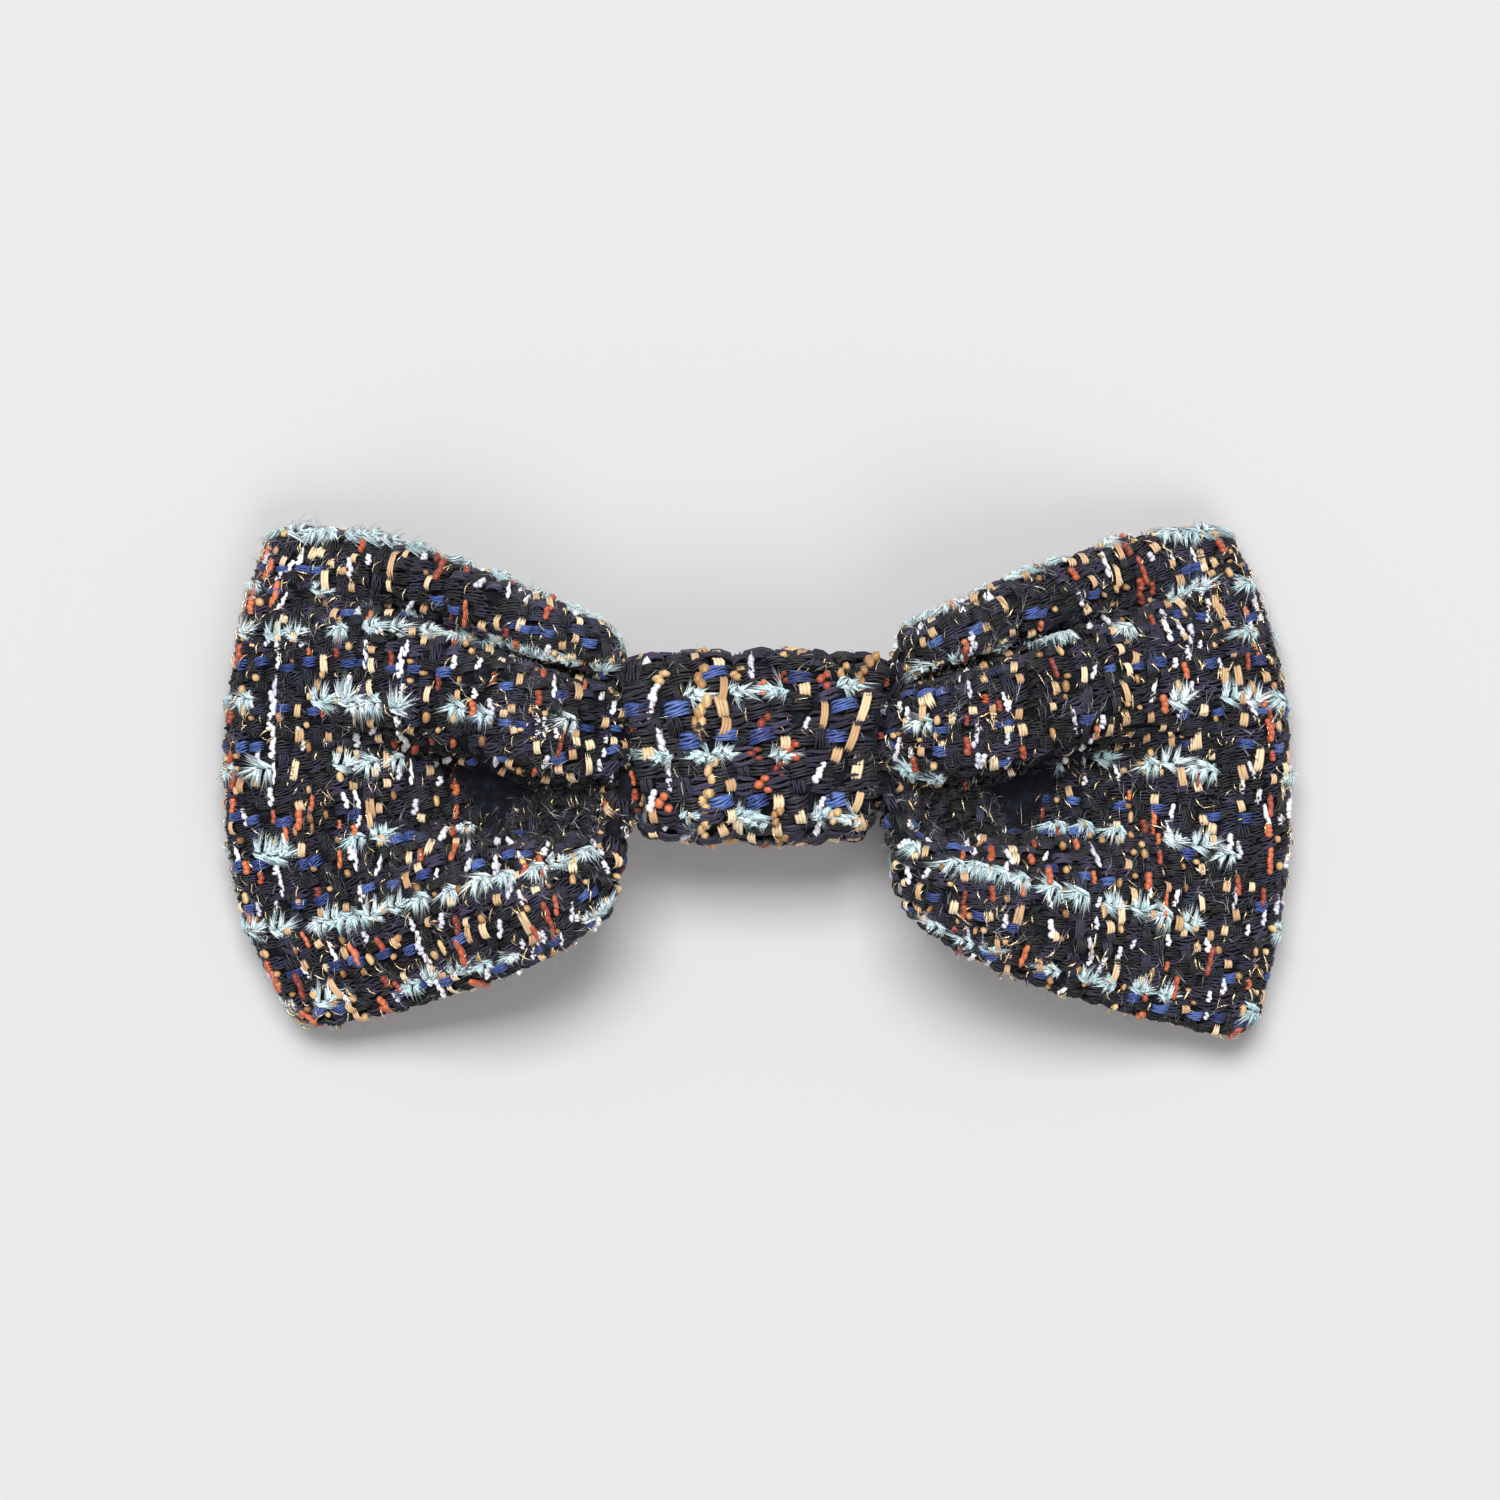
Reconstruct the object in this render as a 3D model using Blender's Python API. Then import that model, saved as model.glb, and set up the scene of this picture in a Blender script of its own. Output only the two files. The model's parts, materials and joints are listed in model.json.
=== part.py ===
"""A clip-on bow tie: a folded loop of tweed, pinched by a knot band, with a sprung clip at the back.

It lies on its back. +X runs along the bow, +Y towards the chin when worn and +Z out of the front.
The origin is at the bottom centre of the bounding box, on the surface that the tie lies on.
All sizes are in metres.
"""

import math

import bmesh
import bpy
from mathutils import Matrix, Vector

# ---- Driving sizes -------------------------------------------------------------------------

AIR = 0.0003  # between pieces that touch

# The loop: two layers of tweed round a canvas interlining, folded so that its ends meet behind.
BOW_WIDTH = 0.120
BOW_HEIGHT = 0.0565
WALL = 0.0034  # both layers where the cloth is loose
PINCHED_WALL = 0.0018  # both layers squeezed inside the knot
PINCH_DEPTH = 0.0086  # front of the bundle to its back, inside the knot
PINCH_ARCH = 0.0016  # how far the edges of both walls turn in inside the knot
PLEAT_STEEPNESS = 0.123  # inside the knot, half the pleats' height over half the bundle's width
WING_PLEAT = 0.0026  # half their height just outside the knot
FOLD_RADIUS = 0.0030  # of the middle of the wall, at the outer fold
CORNER_THINNING = 0.27  # share of that radius lost at the corners
BACK_INSET = 0.0008  # the back wall is this much shorter at its top and bottom edges
JOIN_GAP = 0.0006  # between the loop's two ends, behind the knot
CORNER_INSET = {1: (0.0060, 0.0035), -1: (0.0045, 0.0075)}  # top, bottom, for each wing
CORNER_POWER = 2.3
TOP_FLARE = 0.0121  # the top edge beside the knot, above the knot's middle
BOTTOM_FLARE = 0.0104  # the bottom edge beside the knot, below the knot's middle
TOP_CURVE = 1.15
BOTTOM_CURVE = 0.42
FLARE_RUN = 0.0032  # the cloth widens from the knot to the flare in this length
PLEAT_RUN = 0.0065  # the pleats rise to their full height in this length
LOOSEN_RUN = 0.0200  # the wall regains its loose thickness in this length
LEVEL_RUN = 0.0080  # the front wall stays level for this length before it falls away
FLATTEN_RUN = 0.0300  # the pleats die out in this length before the outer fold
CREASE_END = 0.0150  # the creases stop fanning out at this distance from the outer edge
BACK_LEVEL = 0.0030  # the back wall lies flat this far in from the outer fold

# Folds across the wing, from the bottom edge to the top: place beside the knot, place at the
# outer end (both as a share of half the wing's height) and height as a share of WING_PLEAT.
CREASES = (
    (-1.00, -1.00, 0.20),
    (-0.78, -0.86, 0.90),
    (-0.23, 0.02, -1.00),
    (0.27, 0.42, 1.00),
    (0.56, 0.80, -0.50),
    (0.85, 0.93, 0.60),
    (1.00, 1.00, 0.10),
)

INTERLINING = 0.00030
SLOT = 0.00090  # the space between the two tweed layers
SEAM_MARGIN = 0.0010  # tweed beyond the slot at each long edge
LOOP_STITCH_LENGTH = 0.0040  # across the join of the loop's two ends

# The knot: a band wrapped round the pinched loop and the clip's base.
KNOT_WIDTH = 0.0272
KNOT_HEIGHT = 0.0208
KNOT_RISE = 0.0038  # the knot's middle above the bow's middle
BAND = 0.0020
BAND_CROWN = 0.0006
BAND_ROUND = 0.0008
KNOT_CANVAS = 0.0005
KNOT_CANVAS_INSET = 0.0012
KNOT_CORNER = 0.0031  # inside radius of the canvas, where the clip's base leaves room for it
SEAM_ANGLE = math.radians(38)  # where the band's ends meet, round its lower back corner
BAND_SEAM_GAP = 0.0004
BAND_STITCHES = 5
BAND_STITCH_LENGTH = 0.0026
BAND_STITCH_SPREAD = 0.8  # the outer stitches' place as a share of the band's half width
BAND_STITCH_SLANT = 0.2

THREAD = 0.0005
GATHER_TURNS = 4
JAW_TACK = 0.0039  # from the knot to the thread that holds the clip's base near its jaw
TAIL_TACK = 0.0065  # and from the pin to the thread near its tail

# The clip: a flat base and an arched lever on a pin, held shut by a torsion spring.
PLATE = 0.0007
JAW_REACH = 0.0104  # the jaws stand out of the knot
PIVOT_REACH = 0.0034  # from the knot to the pin
BASE_TAIL = 0.0080  # from the pin to the base's end
TAB_LENGTH = 0.0092  # from the pin to the thumb tab's end
BASE_WIDTH = 0.0090
TIP_WIDTH = 0.0066
TAB_WIDTH = 0.0090
TAB_OFF_TABLE = 0.00006
TIP_RUN = 0.0025  # length of each strip's narrow tip
SHOULDER_RUN = 0.0080  # from the base's tip to its full width
JAW_RISE_POWER = 1.6  # how late the lever's arch rises towards its tip
LEVER_LIFT = 0.0013  # the lever's flat middle above the table
LEVER_FLAT_SPARE = 0.0006  # the flat runs this far past the knot band
EAR = 0.0006
BASE_EAR_RADIUS = 0.0017
PIN_RADIUS = 0.0005
PIN_CLEARANCE = 0.00006
PIN_HEAD_RADIUS = 0.0010
PIN_END_PLAY = 0.0001
PIN_HEAD = 0.0004
SPRING_WIRE = 0.0005
SPRING_TURNS = 4
SPRING_LEG = 0.0050
COIL_GAP = 0.00018
JAW_TEETH = 4
TOOTH_DEPTH = 0.0010

# ---- Sizes worked out from them ------------------------------------------------------------

LEVER_TOP = LEVER_LIFT + PLATE
BAND_BACK = LEVER_TOP + AIR
CANVAS_BACK = BAND_BACK + BAND + AIR
CORE_BACK = CANVAS_BACK + KNOT_CANVAS
BASE_BOTTOM = CORE_BACK + AIR
BASE_TOP = BASE_BOTTOM + PLATE
LOOP_BACK = BASE_TOP + THREAD + 2 * AIR
LOOP_FRONT = LOOP_BACK + PINCH_DEPTH
CORE_FRONT = LOOP_FRONT + THREAD + 2 * AIR
CORE_HALF = KNOT_HEIGHT / 2 - BAND - AIR - KNOT_CANVAS
CORE_CORNER = min(KNOT_CORNER, CORE_HALF - BASE_WIDTH / 2)
PINCH_HALF = CORE_HALF - THREAD - 2 * AIR
PINCH_PLEAT = PLEAT_STEEPNESS * PINCH_HALF
BACK_PINCH_Z = LOOP_BACK + PINCHED_WALL / 2 + PINCH_PLEAT
FRONT_PINCH_Z = LOOP_FRONT - PINCHED_WALL / 2 - PINCH_PLEAT
KNOT_SIDE = KNOT_WIDTH / 2

BASE_TIP_X = -(KNOT_SIDE + JAW_REACH)
PIVOT_X = KNOT_SIDE + PIVOT_REACH
BASE_END_X = PIVOT_X + BASE_TAIL
TAB_END_X = PIVOT_X + TAB_LENGTH
CLIP_REACH = max(-BASE_TIP_X, BASE_END_X, TAB_END_X)
LEVER_WIDTH = BASE_WIDTH - 2 * (EAR + AIR)

COIL_OUTER = (BASE_BOTTOM - LEVER_TOP) / 2 - AIR
COIL_RADIUS = COIL_OUTER - SPRING_WIRE / 2
PIVOT_Z = (BASE_BOTTOM + LEVER_TOP) / 2
PIVOT = Vector((PIVOT_X, KNOT_RISE, PIVOT_Z))
SLOT_INSET = SEAM_MARGIN + SLOT / 2

SIDES_ACROSS = 2 * (len(CREASES) - 1)  # facets across the wing
SPAN_ALONG = 0.01  # in units of along and crease: the cloth's slope is averaged over twice these
SPAN_ACROSS = 0.45
CENTRE_FRONT = 3.0  # along the loop: 0 centre back, 1 to 2 right fold, 3 centre front, 6 back again


def ease(start, end, at):
    """0 up to start, 1 from end on, and a smooth step between."""
    t = min(1.0, max(0.0, (at - start) / (end - start)))
    return t * t * (3 - 2 * t)


def mix(a, b, share):
    return a + (b - a) * share


# ---- Scene helpers -------------------------------------------------------------------------


def clear_scene():
    for old in list(bpy.data.objects):
        bpy.data.objects.remove(old)


def material(name, colour, roughness, metallic=0.0):
    made = bpy.data.materials.new(name)
    made.use_nodes = True
    shader = made.node_tree.nodes["Principled BSDF"]
    shader.inputs["Base Color"].default_value = (*colour, 1.0)
    shader.inputs["Roughness"].default_value = roughness
    shader.inputs["Metallic"].default_value = metallic
    return made


def add_object(name, data, finish):
    data.materials.append(finish)
    made = bpy.data.objects.new(name, data)
    bpy.context.scene.collection.objects.link(made)
    return made


def mesh_object(name, bm, finish, smooth=True):
    """Closes the normals of a bmesh and makes it an object."""
    bmesh.ops.recalc_face_normals(bm, faces=bm.faces)
    mesh = bpy.data.meshes.new(name)
    bm.to_mesh(mesh)
    bm.free()
    if smooth:
        mesh.shade_smooth()
        mesh.set_sharp_from_angle(angle=math.radians(40))
    return add_object(name, mesh, finish)


def thread_object(name, points, diameter, finish, cyclic=False):
    """A round thread or wire along a list of points."""
    data = bpy.data.curves.new(name, "CURVE")
    data.dimensions = "3D"
    data.bevel_depth = diameter / 2
    data.bevel_resolution = 1
    data.use_fill_caps = not cyclic
    spline = data.splines.new("POLY")
    spline.points.add(len(points) - 1)
    for place, point in zip(spline.points, points):
        place.co = (*point, 1.0)
    spline.use_cyclic_u = cyclic
    return add_object(name, data, finish)


def boolean(target, other, operation):
    """Joins or cuts with a helper object, which is then hidden from the render."""
    other.hide_render = True
    other.display_type = "WIRE"
    modifier = target.modifiers.new(f"{operation.lower()}_{other.name}", "BOOLEAN")
    modifier.operation = operation
    modifier.solver = "EXACT"
    modifier.object = other


def grid_faces(bm, rows, closed_ring):
    """Quads between successive rows of vertices."""
    for low, high in zip(rows, rows[1:]):
        last = len(low) if closed_ring else len(low) - 1
        for i in range(last):
            j = (i + 1) % len(low)
            bm.faces.new((low[i], low[j], high[j], high[i]))


# ---- The wing's middle surface -------------------------------------------------------------


def fold_radius(w):
    return FOLD_RADIUS * (1 - CORNER_THINNING * w * w)


def fold_reach(side, w):
    """Distance from the middle of the bow to the axis of the outer fold, at a share w of its height."""
    inset = CORNER_INSET[side][0 if w > 0 else 1] * abs(w) ** CORNER_POWER
    return BOW_WIDTH / 2 - WALL / 2 - fold_radius(w) - inset


def half_wall(d):
    return mix(PINCHED_WALL, WALL, ease(KNOT_SIDE, KNOT_SIDE + LOOSEN_RUN, d)) / 2


def edges(d, front):
    """The middle surface's bottom and top edges at a distance d from the middle of the bow."""
    corner = BOW_WIDTH / 2 - max(max(pair) for pair in CORNER_INSET.values())
    run = min(1.0, max(0.0, (d - KNOT_SIDE) / (corner - KNOT_SIDE)))
    top = mix(KNOT_RISE + TOP_FLARE, BOW_HEIGHT / 2, math.sin(math.pi / 2 * run) ** TOP_CURVE)
    bottom = mix(KNOT_RISE - BOTTOM_FLARE, -BOW_HEIGHT / 2, run**BOTTOM_CURVE)
    flared = ease(KNOT_SIDE + AIR, KNOT_SIDE + AIR + FLARE_RUN, d)
    trim = half_wall(d) + (0 if front else BACK_INSET * flared)
    top = mix(KNOT_RISE + PINCH_HALF, top, flared) - trim
    bottom = mix(KNOT_RISE - PINCH_HALF, bottom, flared) + trim
    return bottom, top


def creases_at(d):
    """Place and height of each crease at a distance d from the middle of the bow."""
    run = ease(KNOT_SIDE, BOW_WIDTH / 2 - CREASE_END, d)
    return [(mix(near, far, run), height) for near, far, height in CREASES]


def pleat(d, w):
    """Height of the pleats, from -1 to 1, at a share w of half the wing's height."""
    lines = creases_at(d)
    for (w0, h0), (w1, h1) in zip(lines, lines[1:]):
        if w <= w1:
            break
    share = min(1.0, max(0.0, (w - w0) / (w1 - w0)))
    return mix(h0, h1, (1 - math.cos(math.pi * share)) / 2)


def wall_height(side, d, w, front):
    """Z of the middle surface of the front or back wall."""
    reach = fold_reach(side, w)
    fold_z = WALL / 2 + fold_radius(w)
    loose = ease(KNOT_SIDE, KNOT_SIDE + PLEAT_RUN, d)
    arch = PINCH_ARCH * w**4 * (1 - loose)
    if front:
        rise = mix(PINCH_PLEAT, WING_PLEAT, loose) * (1 - ease(reach - FLATTEN_RUN, reach, d))
        end_z = fold_z + fold_radius(w)
        middle = mix(FRONT_PINCH_Z, end_z, ease(KNOT_SIDE + LEVEL_RUN, reach, d))
        return middle + rise * pleat(d, w) - arch
    rise = PINCH_PLEAT * (1 - loose)
    end_z = fold_z - fold_radius(w)
    middle = mix(BACK_PINCH_Z, end_z, ease(CLIP_REACH, reach - BACK_LEVEL, d))
    return middle + rise * pleat(d, w) + arch


def loop_point(along, crease, inset):
    """A point of the loop's middle surface.

    along runs from 0 at the centre back to 6, round both wings; crease from 0 at the bottom edge to
    len(CREASES) - 1 at the top; inset draws both edges in.
    """
    side = 1 if along <= CENTRE_FRONT else -1
    t = along if side == 1 else 2 * CENTRE_FRONT - along
    front = t > 1.5
    share = min(1.0, t if t <= 1.0 else max(0.0, 3.0 - t) if front else 1.0)
    nominal = fold_reach(side, 0.0) * min(1.0, share)
    lines = creases_at(nominal)
    low = min(int(crease), len(lines) - 2)
    w = mix(lines[low][0], lines[low + 1][0], crease - low)
    straight = KNOT_SIDE + FLARE_RUN
    d = nominal
    if nominal > straight:
        stretch = (fold_reach(side, w) - straight) / (fold_reach(side, 0.0) - straight)
        d = straight + (nominal - straight) * stretch
    bottom, top = edges(d, front)
    if 1.0 < t < 2.0:
        back_edges, front_edges = edges(d, False), edges(d, True)
        bottom, top = (mix(b, f, t - 1.0) for b, f in zip(back_edges, front_edges))
    half = (top - bottom) / 2
    y = (top + bottom) / 2 + w * (half - inset)
    seen_w = w * (half - inset) / half
    if 1.0 <= t <= 2.0:
        turn = math.pi * (t - 1.0)
        radius = fold_radius(seen_w)
        z = WALL / 2 + radius - radius * math.cos(turn)
        return Vector((side * (d + radius * math.sin(turn)), y, z))
    return Vector((side * d, y, wall_height(side, d, seen_w, front)))


def loop_frame(along, crease, inset):
    """The point with its normal and its direction across the cloth, both taken over a short span."""
    last = len(CREASES) - 1.0
    here = loop_point(along, crease, inset)
    forward = loop_point(min(along + SPAN_ALONG, 6.0), crease, inset)
    backward = loop_point(max(along - SPAN_ALONG, 0.0), crease, inset)
    upward = loop_point(along, min(crease + SPAN_ACROSS, last), inset)
    downward = loop_point(along, max(crease - SPAN_ACROSS, 0.0), inset)
    across = (upward - downward).normalized()
    return here, (forward - backward).cross(across).normalized(), across


def half_wall_at(along):
    t = min(along, 2 * CENTRE_FRONT - along)
    share = t if t <= 1.0 else 1.0 if t <= 2.0 else 3.0 - t
    return half_wall(share * fold_reach(1, 0.0))


def loop_ring(bm, along, half, inset, round_edges):
    """One closed ring of vertices round the cloth at a station of the loop."""
    frames = [
        loop_frame(along, (len(CREASES) - 1) * i / SIDES_ACROSS, inset)
        for i in range(SIDES_ACROSS + 1)
    ]
    points = [here + normal * half for here, normal, _ in frames]
    turns = (45, 90, 135) if round_edges else ()
    for angle in turns:
        here, normal, across = frames[-1]
        turn = math.radians(angle)
        points.append(here + (normal * math.cos(turn) + across * math.sin(turn)) * half)
    points += [here - normal * half for here, normal, _ in reversed(frames)]
    for angle in turns:
        here, normal, across = frames[0]
        turn = math.radians(angle)
        points.append(here - (normal * math.cos(turn) + across * math.sin(turn)) * half)
    return [bm.verts.new(point) for point in points]


def split_same_way(bm):
    """Cuts every quad along the same diagonal, so that surfaces at different depths stay parallel."""
    bmesh.ops.triangulate(bm, faces=bm.faces, quad_method="FIXED")


def loop_stations():
    """Where the rings stand, closest where the cloth flares out of the knot."""
    reach = fold_reach(1, 0.0)
    first = JOIN_GAP / 2 / reach
    side = KNOT_SIDE / reach
    flare = (KNOT_SIDE + FLARE_RUN) / reach
    wall = [first, side * 0.55] + [mix(side, flare, share) for share in (0.1, 0.4, 0.7, 1.0)]
    wall += [mix(flare, 1.0, share) for share in (0.14, 0.32, 0.54, 0.77, 1.0)]
    fold = [1.25, 1.5, 1.75]
    front = [3.0 - share for share in reversed(wall[1:])]
    right = wall + fold + front
    return right + [CENTRE_FRONT] + [2 * CENTRE_FRONT - along for along in reversed(right)]


def make_bow_loop(finish):
    """The tweed tube, with the slot that holds its interlining open at both ends."""
    bm = bmesh.new()
    stations = loop_stations()
    skin = [loop_ring(bm, along, half_wall_at(along), 0.0, True) for along in stations]
    slot = [loop_ring(bm, along, SLOT / 2, SLOT_INSET, True) for along in stations]
    for rings in (skin, slot, (skin[0], slot[0]), (skin[-1], slot[-1])):
        grid_faces(bm, rings, True)
    split_same_way(bm)
    return mesh_object("bow_loop", bm, finish)


def make_bow_interlining(finish):
    bm = bmesh.new()
    rings = [
        loop_ring(bm, along, INTERLINING / 2, SLOT_INSET, False) for along in loop_stations()
    ]
    grid_faces(bm, rings, True)
    bm.faces.new(rings[0])
    bm.faces.new(rings[-1])
    split_same_way(bm)
    return mesh_object("bow_interlining", bm, finish)


def make_loop_stitches(finish):
    """A whip stitch across the join on each ridge of the back wall, on its inner face."""
    reach = LOOP_STITCH_LENGTH / 2 / fold_reach(1, 0.0)
    off = PINCHED_WALL / 2 + AIR + THREAD / 2
    ridges = [crease for crease, (_, _, height) in enumerate(CREASES) if height > 0.5]
    for number, crease in enumerate(ridges):
        points = []
        for share in (1.0, 0.35, -0.35, -1.0):
            along = reach * share if share > 0 else 6.0 + reach * share
            here, normal, _ = loop_frame(along, crease, 0.0)
            points.append(here + normal * off)
        thread_object(f"loop_stitch_{number + 1}", points, THREAD, finish)


# ---- The knot ------------------------------------------------------------------------------


def knot_path(offset, half=CORE_HALF, back=CORE_BACK, front=CORE_FRONT, start=0.0, gap=0.0):
    """Points and outward directions round the knot in the YZ plane, as a strip with two ends.

    It starts at the angle start round the lower back corner and goes round by the back, the top and
    the front, and stops gap short of where it began.
    """
    radius = CORE_CORNER
    mid_y = KNOT_RISE
    corners = (
        (mid_y - half + radius, back + radius, math.pi),
        (mid_y + half - radius, back + radius, math.pi / 2),
        (mid_y + half - radius, front - radius, 0.0),
        (mid_y - half + radius, front - radius, -math.pi / 2),
    )
    found = []

    def arc(corner, first, last, steps):
        y, z, lowest = corners[corner]
        for i in range(steps + 1):
            turn = lowest + mix(first, last, i / steps)
            out = Vector((0.0, math.sin(turn), math.cos(turn)))
            found.append((Vector((0.0, y, z)) + out * (radius + offset), out))

    quarter = math.pi / 2
    arc(0, start, 0.0, 2)
    arc(1, quarter, 0.0, 4)
    arc(2, quarter, 0.0, 4)
    arc(3, quarter, 0.0, 4)
    arc(0, quarter, start + gap / (radius + offset), 3)
    return found


def make_band(name, offset, half_width, profile, finish):
    """A strip wrapped round the knot. The profile is (x as a share of the half width or offset, height)."""
    bm = bmesh.new()
    rows = []
    path = knot_path(offset, start=SEAM_ANGLE, gap=BAND_SEAM_GAP)
    for point, out in path:
        rows.append([bm.verts.new(point + Vector((x * half_width, 0, 0)) + out * up) for x, up in profile])
    grid_faces(bm, rows, True)
    bm.faces.new(rows[0])
    bm.faces.new(rows[-1])
    return mesh_object(name, bm, finish)


def make_knot_band(finish):
    shoulder = 1 - BAND_ROUND / KNOT_SIDE
    profile = (
        (-1, 0),
        (-1, BAND - BAND_ROUND),
        (-shoulder, BAND - BAND_CROWN / 2),
        (-0.5, BAND),
        (0.5, BAND),
        (shoulder, BAND - BAND_CROWN / 2),
        (1, BAND - BAND_ROUND),
        (1, 0),
    )
    return make_band("knot_band", KNOT_CANVAS + AIR, KNOT_SIDE, profile, finish)


def make_knot_interlining(finish):
    profile = ((-1, 0), (-1, KNOT_CANVAS), (1, KNOT_CANVAS), (1, 0))
    return make_band("knot_interlining", 0.0, KNOT_SIDE - KNOT_CANVAS_INSET, profile, finish)


def make_gather_thread(finish):
    """Thread wound tightly round the pinched cloth, under the knot's canvas."""
    room = AIR + THREAD / 2
    turn = knot_path(
        0.0,
        half=CORE_HALF - room,
        back=BASE_TOP + room,
        front=CORE_FRONT - room,
    )[:-1]
    pitch = THREAD + AIR
    points = []
    for i in range(GATHER_TURNS * len(turn)):
        place, _ = turn[i % len(turn)]
        x = (i / len(turn) - GATHER_TURNS / 2) * pitch
        points.append(place + Vector((x, 0, 0)))
    return thread_object("gather_thread", points, THREAD, finish)


def make_band_stitches(finish):
    """Slip stitches that close the band where its ends meet."""
    y = KNOT_RISE - CORE_HALF + CORE_CORNER
    z = CORE_BACK + CORE_CORNER
    radius = CORE_CORNER + KNOT_CANVAS + AIR + BAND + AIR + THREAD / 2
    half_turn = BAND_STITCH_LENGTH / 2 / radius
    for number in range(BAND_STITCHES):
        x = BAND_STITCH_SPREAD * KNOT_SIDE * mix(-1.0, 1.0, number / (BAND_STITCHES - 1))
        points = []
        for share in (-1.0, -0.33, 0.33, 1.0):
            turn = math.pi + SEAM_ANGLE + share * half_turn
            out = Vector((0.0, math.sin(turn), math.cos(turn)))
            slant = share * BAND_STITCH_LENGTH * BAND_STITCH_SLANT
            points.append(Vector((x + slant, y, z)) + out * radius)
        thread_object(f"band_stitch_{number + 1}", points, THREAD, finish)


# ---- The clip ------------------------------------------------------------------------------


def bent_strip(name, line, half_widths, finish, tooth_shift):
    """A stamped strip that follows a line in the XZ plane, with teeth cut in its first end."""
    bm = bmesh.new()
    columns = 2 * JAW_TEETH + 1
    tops, bottoms = [], []
    for i, (place, half) in enumerate(zip(line, half_widths)):
        before, after = line[max(i - 1, 0)], line[min(i + 1, len(line) - 1)]
        along = (Vector(after) - Vector(before)).normalized()
        up = Vector((-along.y, along.x)) * PLATE / 2
        top_row, bottom_row = [], []
        for column in range(columns):
            y = KNOT_RISE + mix(-half, half, column / (columns - 1))
            tooth = TOOTH_DEPTH if i == 0 and (column + tooth_shift) % 2 else 0.0
            top_row.append(bm.verts.new((place[0] + tooth + up.x, y, place[1] + up.y)))
            bottom_row.append(bm.verts.new((place[0] + tooth - up.x, y, place[1] - up.y)))
        tops.append(top_row)
        bottoms.append(bottom_row)
    rings = [top + list(reversed(bottom)) for top, bottom in zip(tops, bottoms)]
    grid_faces(bm, rings, True)
    for top, bottom in ((tops[0], bottoms[0]), (tops[-1], bottoms[-1])):
        grid_faces(bm, [top, bottom], False)
    return mesh_object(name, bm, finish, smooth=False)


def ear(name, y_inner, radius, root_z, finish):
    """A tongue from the strip to the pivot, with a round end, standing away from the clip's middle line."""
    bm = bmesh.new()
    outline = [(radius, root_z), (radius, PIVOT_Z)]
    away = -1 if root_z > PIVOT_Z else 1
    for i in range(1, 8):
        turn = math.pi * i / 8
        outline.append((radius * math.cos(turn), PIVOT_Z + away * radius * math.sin(turn)))
    outline += [(-radius, PIVOT_Z), (-radius, root_z)]
    face = bm.faces.new([bm.verts.new((PIVOT_X + x, y_inner, z)) for x, z in outline])
    moved = bmesh.ops.extrude_face_region(bm, geom=[face])["geom"]
    new = [v for v in moved if isinstance(v, bmesh.types.BMVert)]
    bmesh.ops.translate(bm, verts=new, vec=(0, math.copysign(EAR, y_inner - KNOT_RISE), 0))
    return mesh_object(name, bm, finish, smooth=False)


def pin_cutter(name, finish):
    bm = bmesh.new()
    bmesh.ops.create_cone(
        bm,
        cap_ends=True,
        segments=24,
        radius1=PIN_RADIUS + PIN_CLEARANCE,
        radius2=PIN_RADIUS + PIN_CLEARANCE,
        depth=2 * BASE_WIDTH,
        matrix=Matrix.Translation(PIVOT) @ Matrix.Rotation(math.pi / 2, 4, "X"),
    )
    return mesh_object(name, bm, finish)


def add_ears(strip, half_width, radius, root_z, finish):
    """Joins an ear at each edge of a strip and drills both for the pin."""
    for word, sign in (("upper", 1), ("lower", -1)):
        y_inner = KNOT_RISE + sign * (half_width - EAR)
        tongue = ear(f"{strip.name}_{word}_ear", y_inner, radius, root_z, finish)
        boolean(strip, tongue, "UNION")
    boolean(strip, pin_cutter(f"{strip.name}_drill", finish), "DIFFERENCE")


def set_origin(made, place):
    """Moves an object's origin to its joint's axis without moving its shape."""
    made.data.transform(Matrix.Translation(-place))
    made.location = place


def make_clip_base(finish):
    mid_z = (BASE_BOTTOM + BASE_TOP) / 2
    stations = (BASE_TIP_X, BASE_TIP_X + TIP_RUN, BASE_TIP_X + SHOULDER_RUN, BASE_END_X)
    line = [(x, mid_z) for x in stations]
    halves = [TIP_WIDTH / 2, TIP_WIDTH / 2, BASE_WIDTH / 2, BASE_WIDTH / 2]
    base = bent_strip("clip_base", line, halves, finish, tooth_shift=0)
    add_ears(base, BASE_WIDTH / 2, BASE_EAR_RADIUS, mid_z, finish)
    return base


LEVER_FLAT_Z = LEVER_LIFT + PLATE / 2
TAB_ROOT = Vector((PIVOT_X, LEVER_FLAT_Z))
TAB_END = Vector((TAB_END_X, TAB_OFF_TABLE + PLATE / 2))


def lever_line():
    """The lever's side view: toothed tip, arch, flat under the knot band, and thumb tab."""
    flat_end = KNOT_SIDE + LEVER_FLAT_SPARE
    tip_x = BASE_TIP_X + AIR
    tip_z = BASE_BOTTOM - AIR - PLATE * 0.62
    arch = []
    for share in (1.0, 0.85, 0.68, 0.5, 0.32, 0.15, 0.0):
        arch.append((mix(-flat_end, tip_x, share), mix(LEVER_FLAT_Z, tip_z, share**JAW_RISE_POWER)))
    tab = [tuple(TAB_ROOT.lerp(TAB_END, share)) for share in (0.0, 0.48, 0.62, 1.0)]
    return arch + [(flat_end, LEVER_FLAT_Z)] + tab


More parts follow.
